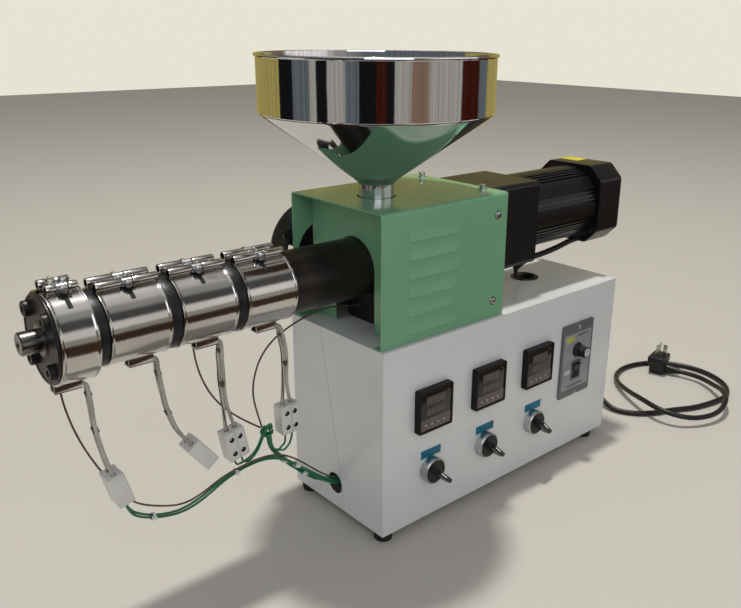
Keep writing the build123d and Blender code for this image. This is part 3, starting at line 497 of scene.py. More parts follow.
# The cutters for the wire holes and screw wells carry the near-black painted shade, to darken the insides of
# those recesses.
shape = bmesh.new()
for x in pole_xs:
    add_rod(shape, 2.3, block_long + 4, (x, 0, -2), upward, 20)
block_body = cut(block_body, mesh_piece("wire_holes", shape, [painted_gap_shade]))
shape = bmesh.new()
for x in pole_xs:
    for z in screw_zs:
        add_rod(shape, 2.7, 6, (x, block_front - 2, z), along_y, 20)
block_body = cut(block_body, mesh_piece("screw_wells", shape, [painted_gap_shade]))
shape = bmesh.new()
for y in (block_front, -block_front):
    add_box(shape, (-1.1, y - 1.3, -1), (1.1, y + 1.3, block_long + 1), 0.6)
shape = reopen(cut(block_body, mesh_piece("middle_groove", shape, [porcelain])))
for x in pole_xs:
    tube = [(2.2, 0), (2.2, block_long - 3), (1.5, block_long - 3), (1.5, 0)]
    add_turned(shape, tube, (x, 0, 1.5), upward, 20, 2, "loop")
    for z in screw_zs:
        add_screw(shape, (x, block_front + 2.6, z), -along_y, 2.1, 3, 4, 0.5, False)
first_block = mesh_piece("porcelain_block_1", shape, [porcelain, painted_gap_shade, brass, zinc, painted_gap_shade], 30)
for number, (lead, places, axis, along_row) in enumerate(heater_leads, 1):
    block = first_block if number == 1 else add_object(f"porcelain_block_{number}", first_block.data)
    row = -along_row if number < 3 else along_row
    turn_to = Matrix((row, axis.cross(row), axis)).transposed().to_4x4()
    block.matrix_world = Matrix.Translation(Vector(lead_points[number - 1][-1]) * mm) @ turn_to
    place(block, "block_ceramic", "terminal_blocks")

# Green looms: insulated copper wires that carry the current from the blocks to the hole in the
# cabinet's end, held in twos and fours by white cable ties, and knotted where they meet.
green_finish = finish("green_insulation", (0.006, 0.165, 0.070), 0.30, coat=0.2, grain=300, bump=0.03,
                      second=(0.004, 0.105, 0.045))
tie_finish = finish("white_nylon", (0.72, 0.73, 0.72), 0.4, grain=600, bump=0.03)


def beyond(points, distance):
    """The point at a distance beyond a route's end, straight on."""
    end = Vector(points[-1])
    return tuple(end + (end - Vector(points[-2])).normalized() * distance)


loom_1_points = [
    beyond(lead_points[0], 31), beyond(lead_points[0], 45), (-280, 0, 93.5), (-262, 0, 86),
    (-240, 0, 82.5), (-218, 0, 88), (-197, 0, 98), (-175, 0, 104), (-153, 0, 105), (-133, 0, 98.5),
    (-113, 0, 84), (-94, 0, 66), (-76, 0, 50), (-59, 0, 40.5), (-42, 0, 37.5)]
loom_2_points = [
    (-140, 6.5, 125), (-140, 6.5, 115), (-134.5, 7, 104), (-124, 8, 91), (-111, 8.3, 77.5),
    (-97, 8.3, 63.5), (-80, 7.5, 50), (-61, 7, 42), (-42, 6.5, 40)]
tie_wide, tie_thick, tie_head = 2.6, 0.5, Vector((2, 2, 1.6))
for name, points, wires, gap, twist, ties in (
        ("green_loom_1", loom_1_points, 2, 1.35, 4.0, (0.16, 0.47, 0.73)),
        ("green_loom_2", loom_2_points, 4, 1.65, 2.2, (0.36, 0.62))):
    places = follow(points)
    stations = way_along(places)
    shape = bmesh.new()
    for wire in range(wires):
        def lay_wire(share):
            angle = 2 * pi * wire / wires + twist * share + 0.5 * sin(9 * share)
            loose = gap * (1 + 0.18 * sin(23 * share + wire))
            return loose * cos(angle), loose * sin(angle)
        add_strand(shape, stations, 1.15, lay_wire)
    loom = mesh_piece(name + "_wires", shape, [green_finish], 50)
    place(loom, "green_wire", name)
    shape = bmesh.new()
    inner = gap + 1.55
    outer = inner + tie_thick
    for tie in ties:
        here, ahead, across, _ = stations[int(tie * len(stations))]
        section = [(inner, 0), (outer, 0), (outer, tie_wide), (inner, tie_wide)]
        add_turned(shape, section, here, ahead, 18, 0, "loop")
        head = here + ahead * tie_wide / 2 - across * (inner + 0.8)
        add_box(shape, head - tie_head, head + tie_head, 0.5)
    loom_ties = mesh_piece(name + "_ties", shape, [tie_finish], 50)
    place(loom_ties, "green_wire")

# The knot: a few loose turns of the same green wire, pulled together by hand. Two wires run from
# it to the third block and two to the fourth.
knot_centre = Vector((-143, 4, 131))
link_radius = 1.05
shape = bmesh.new()
turns = random.Random(5)
for _ in range(5):
    lean = Matrix.Rotation(turns.uniform(-0.9, 0.9), 3, "X")
    lean = lean @ Matrix.Rotation(turns.uniform(-0.8, 0.8), 3, "Y")
    loop_radius = turns.uniform(4.0, 5.2)
    middle = knot_centre + Vector([turns.uniform(-most, most) for most in (1.6, 1.2, 1.6)])
    ring = [(middle + lean @ Vector((c, 0.5 * s * c, s)) * loop_radius) * mm for c, s in circle(28)[:27]]
    add_strand(shape, way_along(ring), 1.1, lambda share: (0, 0))
links = [[beyond(lead_points[2], 29), beyond(lead_points[2], 39), (-173.5, 4, 105.8), (-165, 6, 105),
          (-157, 6.5, 109), (-151, 6, 117), (-147, 5, 128)],
         [beyond(lead_points[3], 29), beyond(lead_points[3], 42), (-126, 2, 105.5), (-134, 2.5, 105.8),
          (-140, 2.5, 112), (-142, 3, 128)]]
for number, points in enumerate(links, 2):
    stations = way_along(follow(points), heater_leads[number][3])
    for side in (-1, 1):
        add_strand(shape, stations, link_radius,
                   lambda share: (side * (1.1 + (hole_pitch / 2 - 1.1) * (1 - share) ** 2.5), 0))
knot = mesh_piece("wire_knot", shape, [green_finish], 50)
place(knot, "green_wire", "loom_knot")

# Thermocouple leads: thin glass-fibre cords under brown metal braid, from the barrel's underside
# and the feed housing to the looms. They hang in slack bows.
braid_finish = finish("brown_braid", (0.16, 0.115, 0.075), 0.45, metallic=0.5, grain=2200, bump=0.5,
                      second=(0.075, 0.05, 0.035))
thermocouples = [
    ("thermocouple_1", "object", [
        (-333, 9, 243.5), (-332.5, 9.5, 230), (-330, 10.5, 211), (-324, 12, 187), (-316, 13.5, 165),
        (-307.5, 14, 146), (-298, 13.5, 128), (-290, 12.5, 113), (-280, 7, 103), (-263, 2.5, 95.5),
        (-240, 0, 88.5), (-219, 0, 92.6), (-198, -1, 102.4), (-175.5, -3.5, 107.6), (-152.5, -3.5, 108.7),
        (-131, -2, 102.5), (-110.5, 0, 88), (-91.5, 0, 69.8), (-73.5, 0, 54.2), (-57.5, 0, 45),
        (-41, 0, 42)]),
    ("thermocouple_2", "knot", [
        (-214, 8, 249), (-213.5, 8, 232), (-210, 8, 212), (-203, 8.5, 193), (-193, 9, 176),
        (-180, 9.5, 161), (-165, 9, 147), (-148, 8, 134)]),
    ("thermocouple_3", "knot", [
        (-14, 0, 238), (-32, 0, 238), (-50, 1.5, 242), (-69, 3.5, 243), (-89, 5.5, 239),
        (-109, 7.5, 232.5), (-128, 9, 223), (-143, 9, 209), (-152, 8.5, 191), (-155, 8, 172),
        (-152, 7.5, 154), (-147, 7, 135)])]
for name, end, points in thermocouples:
    lead = route_curve(name + "_braid", points, 0.9, braid_finish)
    place(lead, "thermocouple_braid", name)
    run_of(follow(points))

# Motor cable: black PVC sheath, strapped under the motor. The sheath ends above the hole in the
# cabinet's top, and four thin single wires go down through a black plastic ring.
sheath_points = [
    (315, -22, 257.7), (300, -22, 257.7), (276, -21, 252.5), (250, -20.5, 249.5), (228, -18, 247),
    (214, -13, 241.5), (210, -8, 233)]
place(route_curve("motor_sheath", sheath_points, 3.5, flex_finish), "cable_black", "motor_cable")
for number, (lean, hole_x) in enumerate(((-4, 231), (-1.5, 235), (1.5, 240), (4, 245)), 1):
    tail_points = [(210 + lean / 2, -8 + lean / 3, 235), (212 + lean, -7, 230),
                   (220 + lean, -4 + lean, 223.5), (hole_x - 2, lean, 216.5),
                   (hole_x + 1.5, 1.5 + lean / 2, 206)]
    place(route_curve(f"motor_wire_{number}", tail_points, 0.85, flex_finish), "cable_black")
shape = bmesh.new()
add_turned(shape, [(13.6, -1.4), (13.2, 0.2), (13.6, 1.2), (15.2, 1.5), (17.2, 1), (17.6, 0.1), (15.2, 0.05)],
           (241.5, 2, 215), upward, 40, 0, "loop")
hole_ring = mesh_piece("cable_hole_ring", shape, [finish("black_grommet", (0.014, 0.014, 0.014), 0.4)])
place(hole_ring, "cable_black")

# Strain relief of the mains cord: soft black PVC moulded on the flex, with ribs that let it bend.
# A flange holds it in the cabinet's end.
along_x = Vector((1, 0, 0))
gland_outline = [(0, -2), (9.3, -2), (9.5, 0.2), (9.5, 3.2), (8.8, 4), (7.0, 4)]
gland_rib = ((0, 0), (0, 1.9), (-0.9, 2.3), (-0.9, 3.2))
for rib in range(6):
    gland_outline += [(6.5 - rib * 0.34 + out, 4.6 + rib * 3.5 + along) for out, along in gland_rib]
gland_outline += [(4.5, 25.8), (3.4, 26), (0, 26)]
shape = bmesh.new()
add_turned(shape, gland_outline, (325, 38, 38), along_x, 36)
place(mesh_piece("ribbed_gland", shape, [flex_finish], 40), "cable_black", "cord_gland")

# Mains plug: black PVC moulded in one with a ribbed relief. It lies on its back, so its flat
# nickel-plated pins stand up from the wider head.
plug_end = Vector(mains_points[-1])
plug_way = (plug_end - Vector(mains_points[-2])).normalized()
plug_turn = Matrix((plug_way.cross(upward), plug_way, upward)).transposed().to_4x4()
plug_frame = Matrix.Translation(plug_end * mm) @ plug_turn
relief_outline = [(0, -1), (4.4, -1)]
relief_rib = ((-0.6, 0), (-0.5, 1.3), (0.3, 1.6), (0.4, 3.4))
for rib in range(5):
    relief_outline += [(4.8 + rib * 0.55 + out, rib * 3.9 + along) for out, along in relief_rib]
relief_outline += [(7, 19.6), (7, 23), (0, 23)]
shape = bmesh.new()
add_turned(shape, relief_outline, (0, 0, 0), along_y, 32)
add_box(shape, (-11.5, 20.0, -8.8), (11.5, 44.0, 9.8), 4, 0, 4)
add_box(shape, (-17.0, 20.2, 7.2), (17.0, 45.8, 20.0), 3.2, 0, 4)
add_box(shape, (-15.0, 22.2, 19.0), (15.0, 43.8, 20.5), 0.6)
shape.transform(plug_frame)
plug_finish = finish("moulded_plug", (0.008, 0.008, 0.0085), 0.36, grain=1600, bump=0.12, shine=0.4)
place(mesh_piece("plug_body", shape, [plug_finish], 32), "cable_black", "mains_plug")
shape = bmesh.new()
for across, along, turn_by in ((0, 25, 90), (6.35, 34.5, 30), (-6.35, 34.5, -30)):
    add_box(shape, (-3.15, -0.75, 0), (3.15, 0.75, 18.4), 0.55, 0, 2,
            laid((across, along, 19.5), radians(turn_by), "Z"))
shape.transform(plug_frame)
pin_finish = finish("nickel_pins", (0.66, 0.64, 0.58), 0.22, metallic=1.0, grain=900, bump=0.05)
place(mesh_piece("plug_blades", shape, [pin_finish], 40), "pin_brass", "plug_pins")

# Cabinet: two shells of 1.5 mm sheet steel, folded and powder-coated in white, that meet in a
# slanted seam on each end. The coat has a fine orange-peel texture and a soft gloss.


def round_edges(piece, width, segments, angle):
    """Rounds the edges of a piece that are sharper than the angle."""
    rounding = piece.modifiers.new("rounding", "BEVEL")
    rounding.width = width * mm
    rounding.segments = segments
    rounding.limit_method = "ANGLE"
    rounding.angle_limit = radians(angle)
    return rounding


def dress(name, material, edge=0.0):
    """Gives a CAD node its finish and, where edge is set, rounds its sharp edges by that much."""
    node = cad[name]
    if not node.material_slots:
        node.data.materials.append(material)
    for holder in node.material_slots:
        holder.material = material
    if edge:
        node.modifiers.new("join", "WELD").merge_threshold = 0.00002
        round_edges(node, edge, 3, 40).harden_normals = True


cabinet_coat = finish("white_powder_coat", (0.64, 0.645, 0.64), 0.34, coat=0.35, spread=0.03, grain=650,
                      bump=0.05)
for name, edge in (("cabinet_front_shell", 0.0), ("cabinet_rear_shell", 0.6), ("cabinet_base", 0.6)):
    dress(name, cabinet_coat, edge)

# Feet: four tapered discs of moulded black rubber, screwed on under the corners. Their edges are
# rounded by the mould.
dress("feet", finish("foot_rubber", (0.012, 0.011, 0.011), 0.75, grain=1400, bump=0.15), 1.0)

# Hood: top and sides bent from one piece of 1.5 mm sheet and painted mint green. The near side has
# six louvres pressed out of it, the far side a round opening for the fan, the top one for the neck.
hood_paint = finish("mint_paint", (0.165, 0.365, 0.205), 0.30, coat=0.45, spread=0.05, grain=420, bump=0.06)
hood_start, hood_end, hood_half, hood_foot, hood_top = -59, 115, 71.5, 215, 349.5
hood_sheet, flange_end, bend_radius = 1.5, 59.5, 3
neck_x = -4.6


def hood_profile(inset):
    """The bent sheet's section, from the foot of one side over the top to the foot of the other."""
    half, top, foot, bend = hood_half - inset, hood_top - inset, hood_foot + inset, bend_radius - inset
    line = [(-flange_end, foot), (0.8 - half, foot), (-half, foot + 0.8)]
    line += [(-half + bend * (1 - cos(a)), top - bend * (1 - sin(a)))
             for a in (k * pi / 12 for k in range(7))]
    return line + [(-y, z) for y, z in line[::-1]]


shape = bmesh.new()
add_skin(shape, [[(hood_start, *outer), (hood_end, *outer), (hood_end, *inner), (hood_start, *inner)]
                 for outer, inner in zip(hood_profile(0), hood_profile(hood_sheet))])
hood = mesh_piece("hood_sheet", shape, [hood_paint])
shape = bmesh.new()
add_rod(shape, 19.5, 20, (neck_x, 0, 340), upward, 64)
add_rod(shape, 34, 20, (-19, 60, 281), along_y, 64)
louvre_feet = [224.7 + k * 18.65 for k in range(6)]
for foot in louvre_feet:
    add_box(shape, (-20, -76, foot + 0.4), (45, -66, foot + 4.5))
shape = reopen(cut(hood, mesh_piece("hood_openings", shape, [hood_paint])))
along_steps, up_steps = 40, 10
louvre_start, louvre_length, louvre_height, louvre_depth, louvre_skin = -24, 72, 11.5, 1.5, 1.1
lifts = [k / up_steps for k in range(up_steps + 1)]
for foot in louvre_feet:
    columns = []
    for i in range(along_steps + 1):
        share = i / along_steps
        at = (share - 0.10 * sin(2 * pi * share)) * louvre_length
        left_rise = min(1.0, at / 4.5)
        right_rise = min(1.0, (louvre_length - at) / 11)
        ends = sqrt(1 - (1 - left_rise) ** 2) * sqrt(1 - (1 - right_rise) ** 2)
        column = []
        for skin, order in ((0.0, lifts[::-1]), (louvre_skin, lifts)):
            for lift in order:
                depth = louvre_depth * ends * (1 - lift) ** 1.3
                height = louvre_height * (lift * (0.55 + 0.45 * ends) + 0.12 * (1 - ends) * (1 - lift))
                column.append((louvre_start + at, -hood_half - depth + skin + 0.02, foot + height))
        columns.append(add_ring(shape, column))
    for column, following in zip(columns, columns[1:]):
        for k in range(len(column) - 1):
            shape.faces.new((column[k], column[k + 1], following[k + 1], following[k]))
hood = mesh_piece("hood_sheet", shape, [hood_paint], 28)
round_edges(hood, 0.35, 2, 60)
place(hood, "hood_paint", "hood_cover")
dress("hood_front_wall", hood_paint, 0.3)

# Hopper: polished stainless steel, spun into a bowl with a rolled rim, welded to a cone and a short
# neck. It mirrors the room in sharp upright bands. The weld is ground and duller.
steel_mirror = finish("polished_stainless", (0.72, 0.72, 0.73), 0.055, metallic=1.0, spread=0.05, grain=140,
                      bump=0.008, wave=0.04)
weld_steel = finish("ground_weld", (0.62, 0.62, 0.61), 0.3, metallic=1.0, grain=700, bump=0.06)
hopper_outline = [
    (18.3, 0), (18.3, 31.2), (18.6, 31.5), (112.6, 97.2), (114.2, 98.6), (114.3, 99.3), (115.0, 100.1),
    (115.0, 150.6), (115.5, 151.1), (116.5, 151.3), (116.8, 152.2), (116.6, 153.3), (115.8, 153.9),
    (114.7, 153.9), (114.0, 153.2), (113.8, 151.5), (113.8, 99.6), (112.0, 98.0), (17.4, 31.9),
    (17.1, 31.6), (17.1, 0)]
weld_outline = [
    (18.35, 29.4), (19.0, 30.9), (20.6, 32.5), (24.0, 35.15), (27.5, 37.68), (27.4, 37.9), (18.2, 31.4)]
shape = bmesh.new()
add_turned(shape, hopper_outline, (neck_x, 0, 333), upward, 160, 0, "loop")
add_turned(shape, weld_outline, (neck_x, 0, 333), upward, 96, 1, "loop")
place(mesh_piece("spun_hopper", shape, [steel_mirror, weld_steel], 24), "hopper_steel", "hopper")

# Barrel: a thick steel tube, turned all over and blackened by heat and oil. Fine turning marks
# run round it.
barrel_finish = finish("blackened_steel", (0.034, 0.027, 0.022), 0.36, metallic=0.5, grain=900, bump=0.12,
                       second=(0.016, 0.013, 0.012), stretch=(1.0, 0.05, 0.05))
dress("barrel_tube", barrel_finish)

# Band heaters: mica heaters in bright steel bands with folded lips. Each is split on top, and its
# two edges are rolled into tubes that hold the barrels of a zinc-plated clamp screw.
band_finish = finish("bright_band_steel", (0.60, 0.585, 0.565), 0.12, metallic=1.0, grain=230, bump=0.04,
                     second=(0.46, 0.435, 0.41), wave=0.12)
axis_height = 280


def round_x(x, radius, angle, height=axis_height):
    """A point round an axis that runs along X at the height."""
    return Vector((x, radius * cos(angle), height + radius * sin(angle)))


lug_y, lug_radius, split_half, band_steps = 8.7, 4.25, 4.5, 96
bands = [
    ("heater_1", -342, 30, 38.5, 24), ("heater_2", -302, 52, 32.9, 52), ("heater_3", -240, 52, 32.9, 52),
    ("heater_4", -178, 52, 32.9, 52)]
lip = [(0.0, -2.1), (0.0, -0.25), (0.35, 0.3), (1.3, 0.42), (2.0, 0.2), (2.5, -0.1), (3.2, -0.12)]
for number, (name, start, length, radius, lug_length) in enumerate(bands, 1):
    outline = [(at, radius + r) for at, r in lip] + [(length / 2, radius - 0.1)]
    outline += [(length - at, radius + r) for at, r in lip[::-1]]
    split = asin(split_half / radius)
    shape = bmesh.new()
    angles = [pi / 2 + split + (2 * pi - 2 * split) * k / band_steps for k in range(band_steps + 1)]
    add_skin(shape, [[round_x(start + at, r, angle) for at, r in outline] for angle in angles])
    lug_z = axis_height + sqrt(radius ** 2 - lug_y ** 2) + 3.2
    middle = start + length / 2
    tube = lug_length / 2 - 5
    for side in (-1, 1):
        for first in (middle - lug_length / 2, middle + 5):
            add_turned(shape, [(3.1, 0), (4.1, 0), (lug_radius, 0.4), (lug_radius, tube - 0.4), (4.1, tube),
                               (3.1, tube)], (first, side * lug_y, lug_z), along_x, 28, 0, "loop")
    stub_start = start + length - 29
    stub_end = stub_start + 22
    foot = axis_height - radius
    for low_y, high_y, low_z, high_z in ((-5, -3.8, -8, 0.6), (3.8, 5, -8, 0.6), (-5, 5, -8, -6.8),
                                         (-5, 5, -0.6, 0.6)):
        add_box(shape, (stub_start, low_y, foot + low_z), (stub_end, high_y, foot + high_z), 0.3)
    place(mesh_piece(f"{name}_band", shape, [band_finish], 34), "heater_steel", f"band_{name}")
    shape = bmesh.new()
    for side in (-1, 1):
        add_turned(shape, [(0, 0), (3.6, 0), (4.0, 0.5), (4.0, 8.5), (3.6, 9), (0, 9)],
                   (middle - 4.5, side * lug_y, lug_z), along_x)
    add_rod(shape, 1.9, 34, (middle, -17, lug_z), along_y, 14)
    add_rod(shape, 3.6, 3, (middle, 12.9, lug_z), along_y, 6)
    add_screw(shape, (middle, -12.8, lug_z), -along_y, 3.7, 0, 1, 0.75, False)
    if number == 1:
        for at in (-4.84, 4.84):
            add_turned(shape, [(0, 0), (3.4, 0), (3.8, 0.6), (3.8, 3.4), (3.2, 4), (0, 4)],
                       (middle + at, -1, lug_z + 2.2), upward, 6)
    # A T-shaped opening in each band is drawn as flat near-black patches on its surface: painted shade where
    # the hole would be.
    for first_angle, last_angle, half_long in ((19, 27, 5.0), (27, 42, 1.9)):
        step = radians(last_angle - first_angle) / 6
        for k in range(6):
            near = radians(90 + first_angle) + step * k
            opening = [round_x(middle + x, radius + 0.06, angle) for x, angle in (
                (-half_long, near), (half_long, near), (half_long, near + step), (-half_long, near + step))]
            shape.faces.new(add_ring(shape, opening)).material_index = 1
    place(mesh_piece(f"{name}_clamp", shape, [zinc, painted_gap_shade], 34), "turned_steel")

# Spacer rings: rings of black enamelled sheet steel between the heaters. They are pressed, so
# their edges are rounded.
enamel = finish("black_enamel", (0.010, 0.0095, 0.010), 0.38, grain=500, bump=0.08, shine=0.35)
dress("spacer_rings", enamel, 0.5)

# Die head: black-oxide steel, turned, with a sleeve that the first heater grips and a cap held by
# four socket-head screws.
oxide = finish("black_oxide", (0.018, 0.016, 0.015), 0.36, metallic=0.15, grain=700, bump=0.10,
               second=(0.009, 0.008, 0.008), shine=0.4)
face_x = -344.5
screw_circle, screw_sides = 29, 24
die_outline = [
    (30.9, 32.5), (35.7, 32.5), (35.7, 2.6), (36.6, 2.5), (37.0, 2.0), (37.0, 0.9), (36.2, 0.0),
    (34.6, 0.0), (34.2, 0.5), (15.6, 0.5), (15.0, 0.0), (1.5, 0.0), (1.5, 2.5), (30.9, 2.5)]
shape = bmesh.new()
add_turned(shape, die_outline, (face_x, 0, axis_height), along_x, 96, 0, "loop")
place(mesh_piece("die_head", shape, [oxide], 30), "black_steel", "die_flange")
shape = bmesh.new()
for quarter in range(4):
    angle = radians(45 + 90 * quarter)
    centre = round_x(face_x + 0.6, screw_circle, angle)
    rings = []
    for radius, height, hexed in ((6.5, 0, 0), (6.5, 4.4, 0), (5.9, 5.0, 0), (3.1, 5.0, 1), (3.1, 2.0, 1),
                                  (0.01, 1.6, 0)):
        ring = []
        for k in range(screw_sides):
            around = 2 * pi * k / screw_sides
            corner = cos(pi / 6) / cos(around % (pi / 3) - pi / 6)
            reach = radius * (corner if hexed else 1)
            ring.append(centre + round_x(-height, reach, around, 0))
        rings.append(ring)
    add_skin(shape, rings, 0, "open")
place(mesh_piece("die_screws", shape, [oxide], 34), "black_steel")

# Nozzle: plain turned steel with a chamfered end and a small bore, darkened by heat. A flange
# seats it on the die head.
turned_finish = finish("turned_steel", (0.20, 0.19, 0.18), 0.24, metallic=1.0, grain=1300, bump=0.05,
                       second=(0.10, 0.095, 0.09), stretch=(1.0, 0.04, 0.04))
nozzle_outline = [
    (1.5, 0), (1.6, -16.2), (2.2, -16.5), (8.6, -16.5), (9.5, -15.6), (9.5, -1.2), (9.7, -1.0),
    (12.6, -0.9), (13.0, -0.5), (13.0, 0.0)]
shape = bmesh.new()
add_turned(shape, nozzle_outline, (face_x, 0, axis_height), along_x, 64, 0, "loop")
place(mesh_piece("turned_nozzle", shape, [turned_finish], 30), "turned_steel", "nozzle")

# Feed housing and pillar plate: a casting and a thick plate, both painted black. The paint keeps
# the casting's grain.
casting_paint = finish("black_casting_paint", (0.014, 0.014, 0.015), 0.5, grain=500, bump=0.35, shine=0.3)
dress("feed_housing", casting_paint, 0.8)
dress("pillar_plate", casting_paint, 0.8)

# Gearmotor: an aluminium gearbox and a finned motor body, both sprayed satin black. Slots in
# groups of four run along the motor, with plain skin between the groups.
motor_paint = finish("satin_black_paint", (0.006, 0.006, 0.0062), 0.34, coat=0.1, grain=800, bump=0.10,
                     shine=0.4)
dress("gearbox", motor_paint, 1.0)
motor_start, motor_end, motor_height = 200, 315, 302.5
motor_radius, slot_floor, slot_half_wide = 45, 42, 1.1
first_slot, group_pitch, slot_pitch = 17.5, 45, 6
slot_half = degrees(slot_half_wide / motor_radius)
outline = []
for group in range(8):
    for fin in range(4):
        at = first_slot + group * group_pitch + fin * slot_pitch
        for side, radius in ((-1, motor_radius), (-1, slot_floor), (1, slot_floor), (1, motor_radius)):
            outline.append((radius, radians(at + side * slot_half)))
        steps = range(3, 24, 3) if fin == 3 else (1.6,)
        outline += [(motor_radius, radians(at + slot_half + step)) for step in steps]
shape = bmesh.new()
add_skin(shape, [[round_x(at, radius - inset, angle, motor_height) for radius, angle in outline]
                 for at, inset in ((motor_start, 0.6), (motor_start + 0.6, 0), (motor_end, 0))])
place(mesh_piece("finned_motor", shape, [motor_paint], 34), "motor_paint", "motor_body")

# Fan cover: a deep-drawn cap of black-painted steel over the motor's own fan, open towards the
# motor, with slots for air in its end, a fixing screw on each side and a plain yellow sticker.
cover_start, cover_half = motor_end, 48.5


def chamfered_square(inset, at):
    """Points round a square with rounded chamfers, across the motor's axis at one place along it."""
    half, chamfer, bend = cover_half - inset, 17 - 0.586 * inset, 8 - inset
    short = half - chamfer - bend * tan(pi / 8)
    points = []
    for quarter in range(4):
        for (y, z), first in (((half - bend, short), 0), ((short, half - bend), pi / 4)):
            for k in range(5):
                angle = first + pi / 4 * k / 4
                corner = Vector((y + bend * cos(angle), z + bend * sin(angle)))
                corner.rotate(Matrix.Rotation(pi / 2 * quarter, 2))
                points.append((cover_start + at, corner.x, motor_height + corner.y))
    return points


cover_stations = [
    (1.9, 3), (1.9, 0.3), (1.6, 0), (0.4, 0), (0, 0.4), (0, 42), (0.3, 43.8), (1.2, 45.2), (2.6, 46),
    (4.0, 46)]
shape = bmesh.new()
add_skin(shape, [chamfered_square(inset, at) for inset, at in cover_stations])
cover = mesh_piece("fan_cap", shape, [motor_paint, painted_gap_shade], 30)
shape = bmesh.new()
air_slots, air_slot_half = 28, 1.3
for number in range(air_slots):
    lay = laid((cover_start, 0, motor_height), 2 * pi * number / air_slots, "X")
    for near, far in ((13, 25), (28, 40)):
        add_box(shape, (42, near, -air_slot_half), (48, far, air_slot_half), lay=lay)
cover = cut(cover, mesh_piece("air_slots", shape, [motor_paint]))
cover.data.set_sharp_from_angle(angle=radians(30))
place(cover, "motor_paint", "motor_fan_cover")
shape = bmesh.new()
for side in (-1, 1):
    add_screw(shape, (324, side * 48.4, 302), along_y * side, 3.0, 0, 0, 0.4)
place(mesh_piece("cover_screws", shape, [oxide]), "black_steel")
sticker_finish = finish("yellow_sticker", (0.62, 0.54, 0.055), 0.35, coat=0.3, spread=0.04)
shape = bmesh.new()
add_box(shape, (334, 3, 350.98), (357, 31, 351.2), 0.05)
place(mesh_piece("plain_sticker", shape, [sticker_finish]), "motor_paint")

# Cooling fan: a round axial fan in black glass-filled plastic, screwed to the hood's far side. It
# has a matt, moulded skin.
dress("cooling_fan", finish("fan_plastic", (0.012, 0.012, 0.013), 0.45, grain=1200, bump=0.12, shine=0.35))

# Temperature controllers: three 48 mm square instruments clipped into the front. Each has a black
# bezel, a smoked window over two rows of unlit digits, and a membrane strip with four keys.
instrument_black = finish("instrument_black", (0.0055, 0.0045, 0.005), 0.42, grain=1500, bump=0.10,
                          shine=0.22)
face_finishes = [
    finish("smoked_window", (0.018, 0.0125, 0.0095), 0.12, spread=0.05, grain=200, bump=0.0, shine=0.4),
    finish("unlit_digit", (0.150, 0.125, 0.098), 0.30, spread=0.05, shine=0.3),
    finish("key_strip", (0.140, 0.112, 0.102), 0.45, grain=900, bump=0.08, shine=0.3),
    finish("key_print", (0.52, 0.48, 0.42), 0.45),
    finish("display_back", (0.056, 0.046, 0.038), 0.2, spread=0.05, shine=0.4)]
window, lit_part, strip, key_mark, display = range(5)
control_xs, control_z = (6, 90, 174), 140
segments_of_digit = ((0, 1, 1.5, 0.32), (0, 0, 1.5, 0.32), (0, -1, 1.5, 0.32), (-1, 0.5, 0.32, 1.9),
                     (1, 0.5, 0.32, 1.9), (-1, -0.5, 0.32, 1.9), (1, -0.5, 0.32, 1.9))


def on_face(left, low, wide, high, back, front, bevel=0.0, material=0):
    """A flat form on the instrument's face, placed from the face's middle."""
    add_box(shape, (control_x + left, front, control_z + low),
            (control_x + left + wide, back, control_z + low + high), bevel, material)


for number, control_x in enumerate(control_xs, 1):
    dress(f"controller_{number}", instrument_black, 0.5)
    shape = bmesh.new()
    on_face(-21.2, -8.6, 42.4, 29.8, -82.8, -83.25, 0.2, window)
    on_face(-21.2, -21.2, 42.4, 12.4, -82.8, -83.2, 0.2, strip)
    for row_z, digit_high in ((11.2, 7.4), (-1.2, 6.0)):
        on_face(-13.6, row_z - digit_high * 0.62, 26.6, digit_high * 1.24, -83.2, -83.27, 0, display)
        size = digit_high / 6.6
        for digit_x in (-9.4, -3.1, 3.2, 9.5):
            for across, up_by, wide, high in segments_of_digit:
                on_face(digit_x + (across * 1.75 - wide) * size, row_z + (up_by * 2.9 - high) * size,
                        2 * wide * size * 0.8, 2 * high * size * 0.7, -83.2, -83.34, 0, lit_part)
    for dot_z in (16.5, 7.5, -1.5):
        on_face(15.8, dot_z, 1.4, 1.4, -83.2, -83.35, 0.2, lit_part)
    for key_x in (-14.5, -5.9, 2.7, 11.3):
        on_face(key_x - 3.1, -18.3, 6.2, 6.0, -83.1, -83.55, 0.35, strip)
        on_face(key_x - 0.9, -16.3, 1.8, 1.8, -83.5, -83.62, 0.1, key_mark)
    place(mesh_piece(f"controller_{number}_face", shape, face_finishes, 30), "controller_plastic")

# Labels over the selectors: plain plates of teal plastic film without text, glued to the front,
# one above each switch.
label_film = finish("teal_film", (0.005, 0.150, 0.235), 0.4, spread=0.3, grain=500, bump=0.03, shine=0.3)
shape = bmesh.new()
for control_x in control_xs:
    add_box(shape, (control_x - 13.7, -76.25, 81.2), (control_x + 15.3, -75.98, 90.8), 0.1)
place(mesh_piece("plain_labels", shape, [label_film]), "controller_plastic")

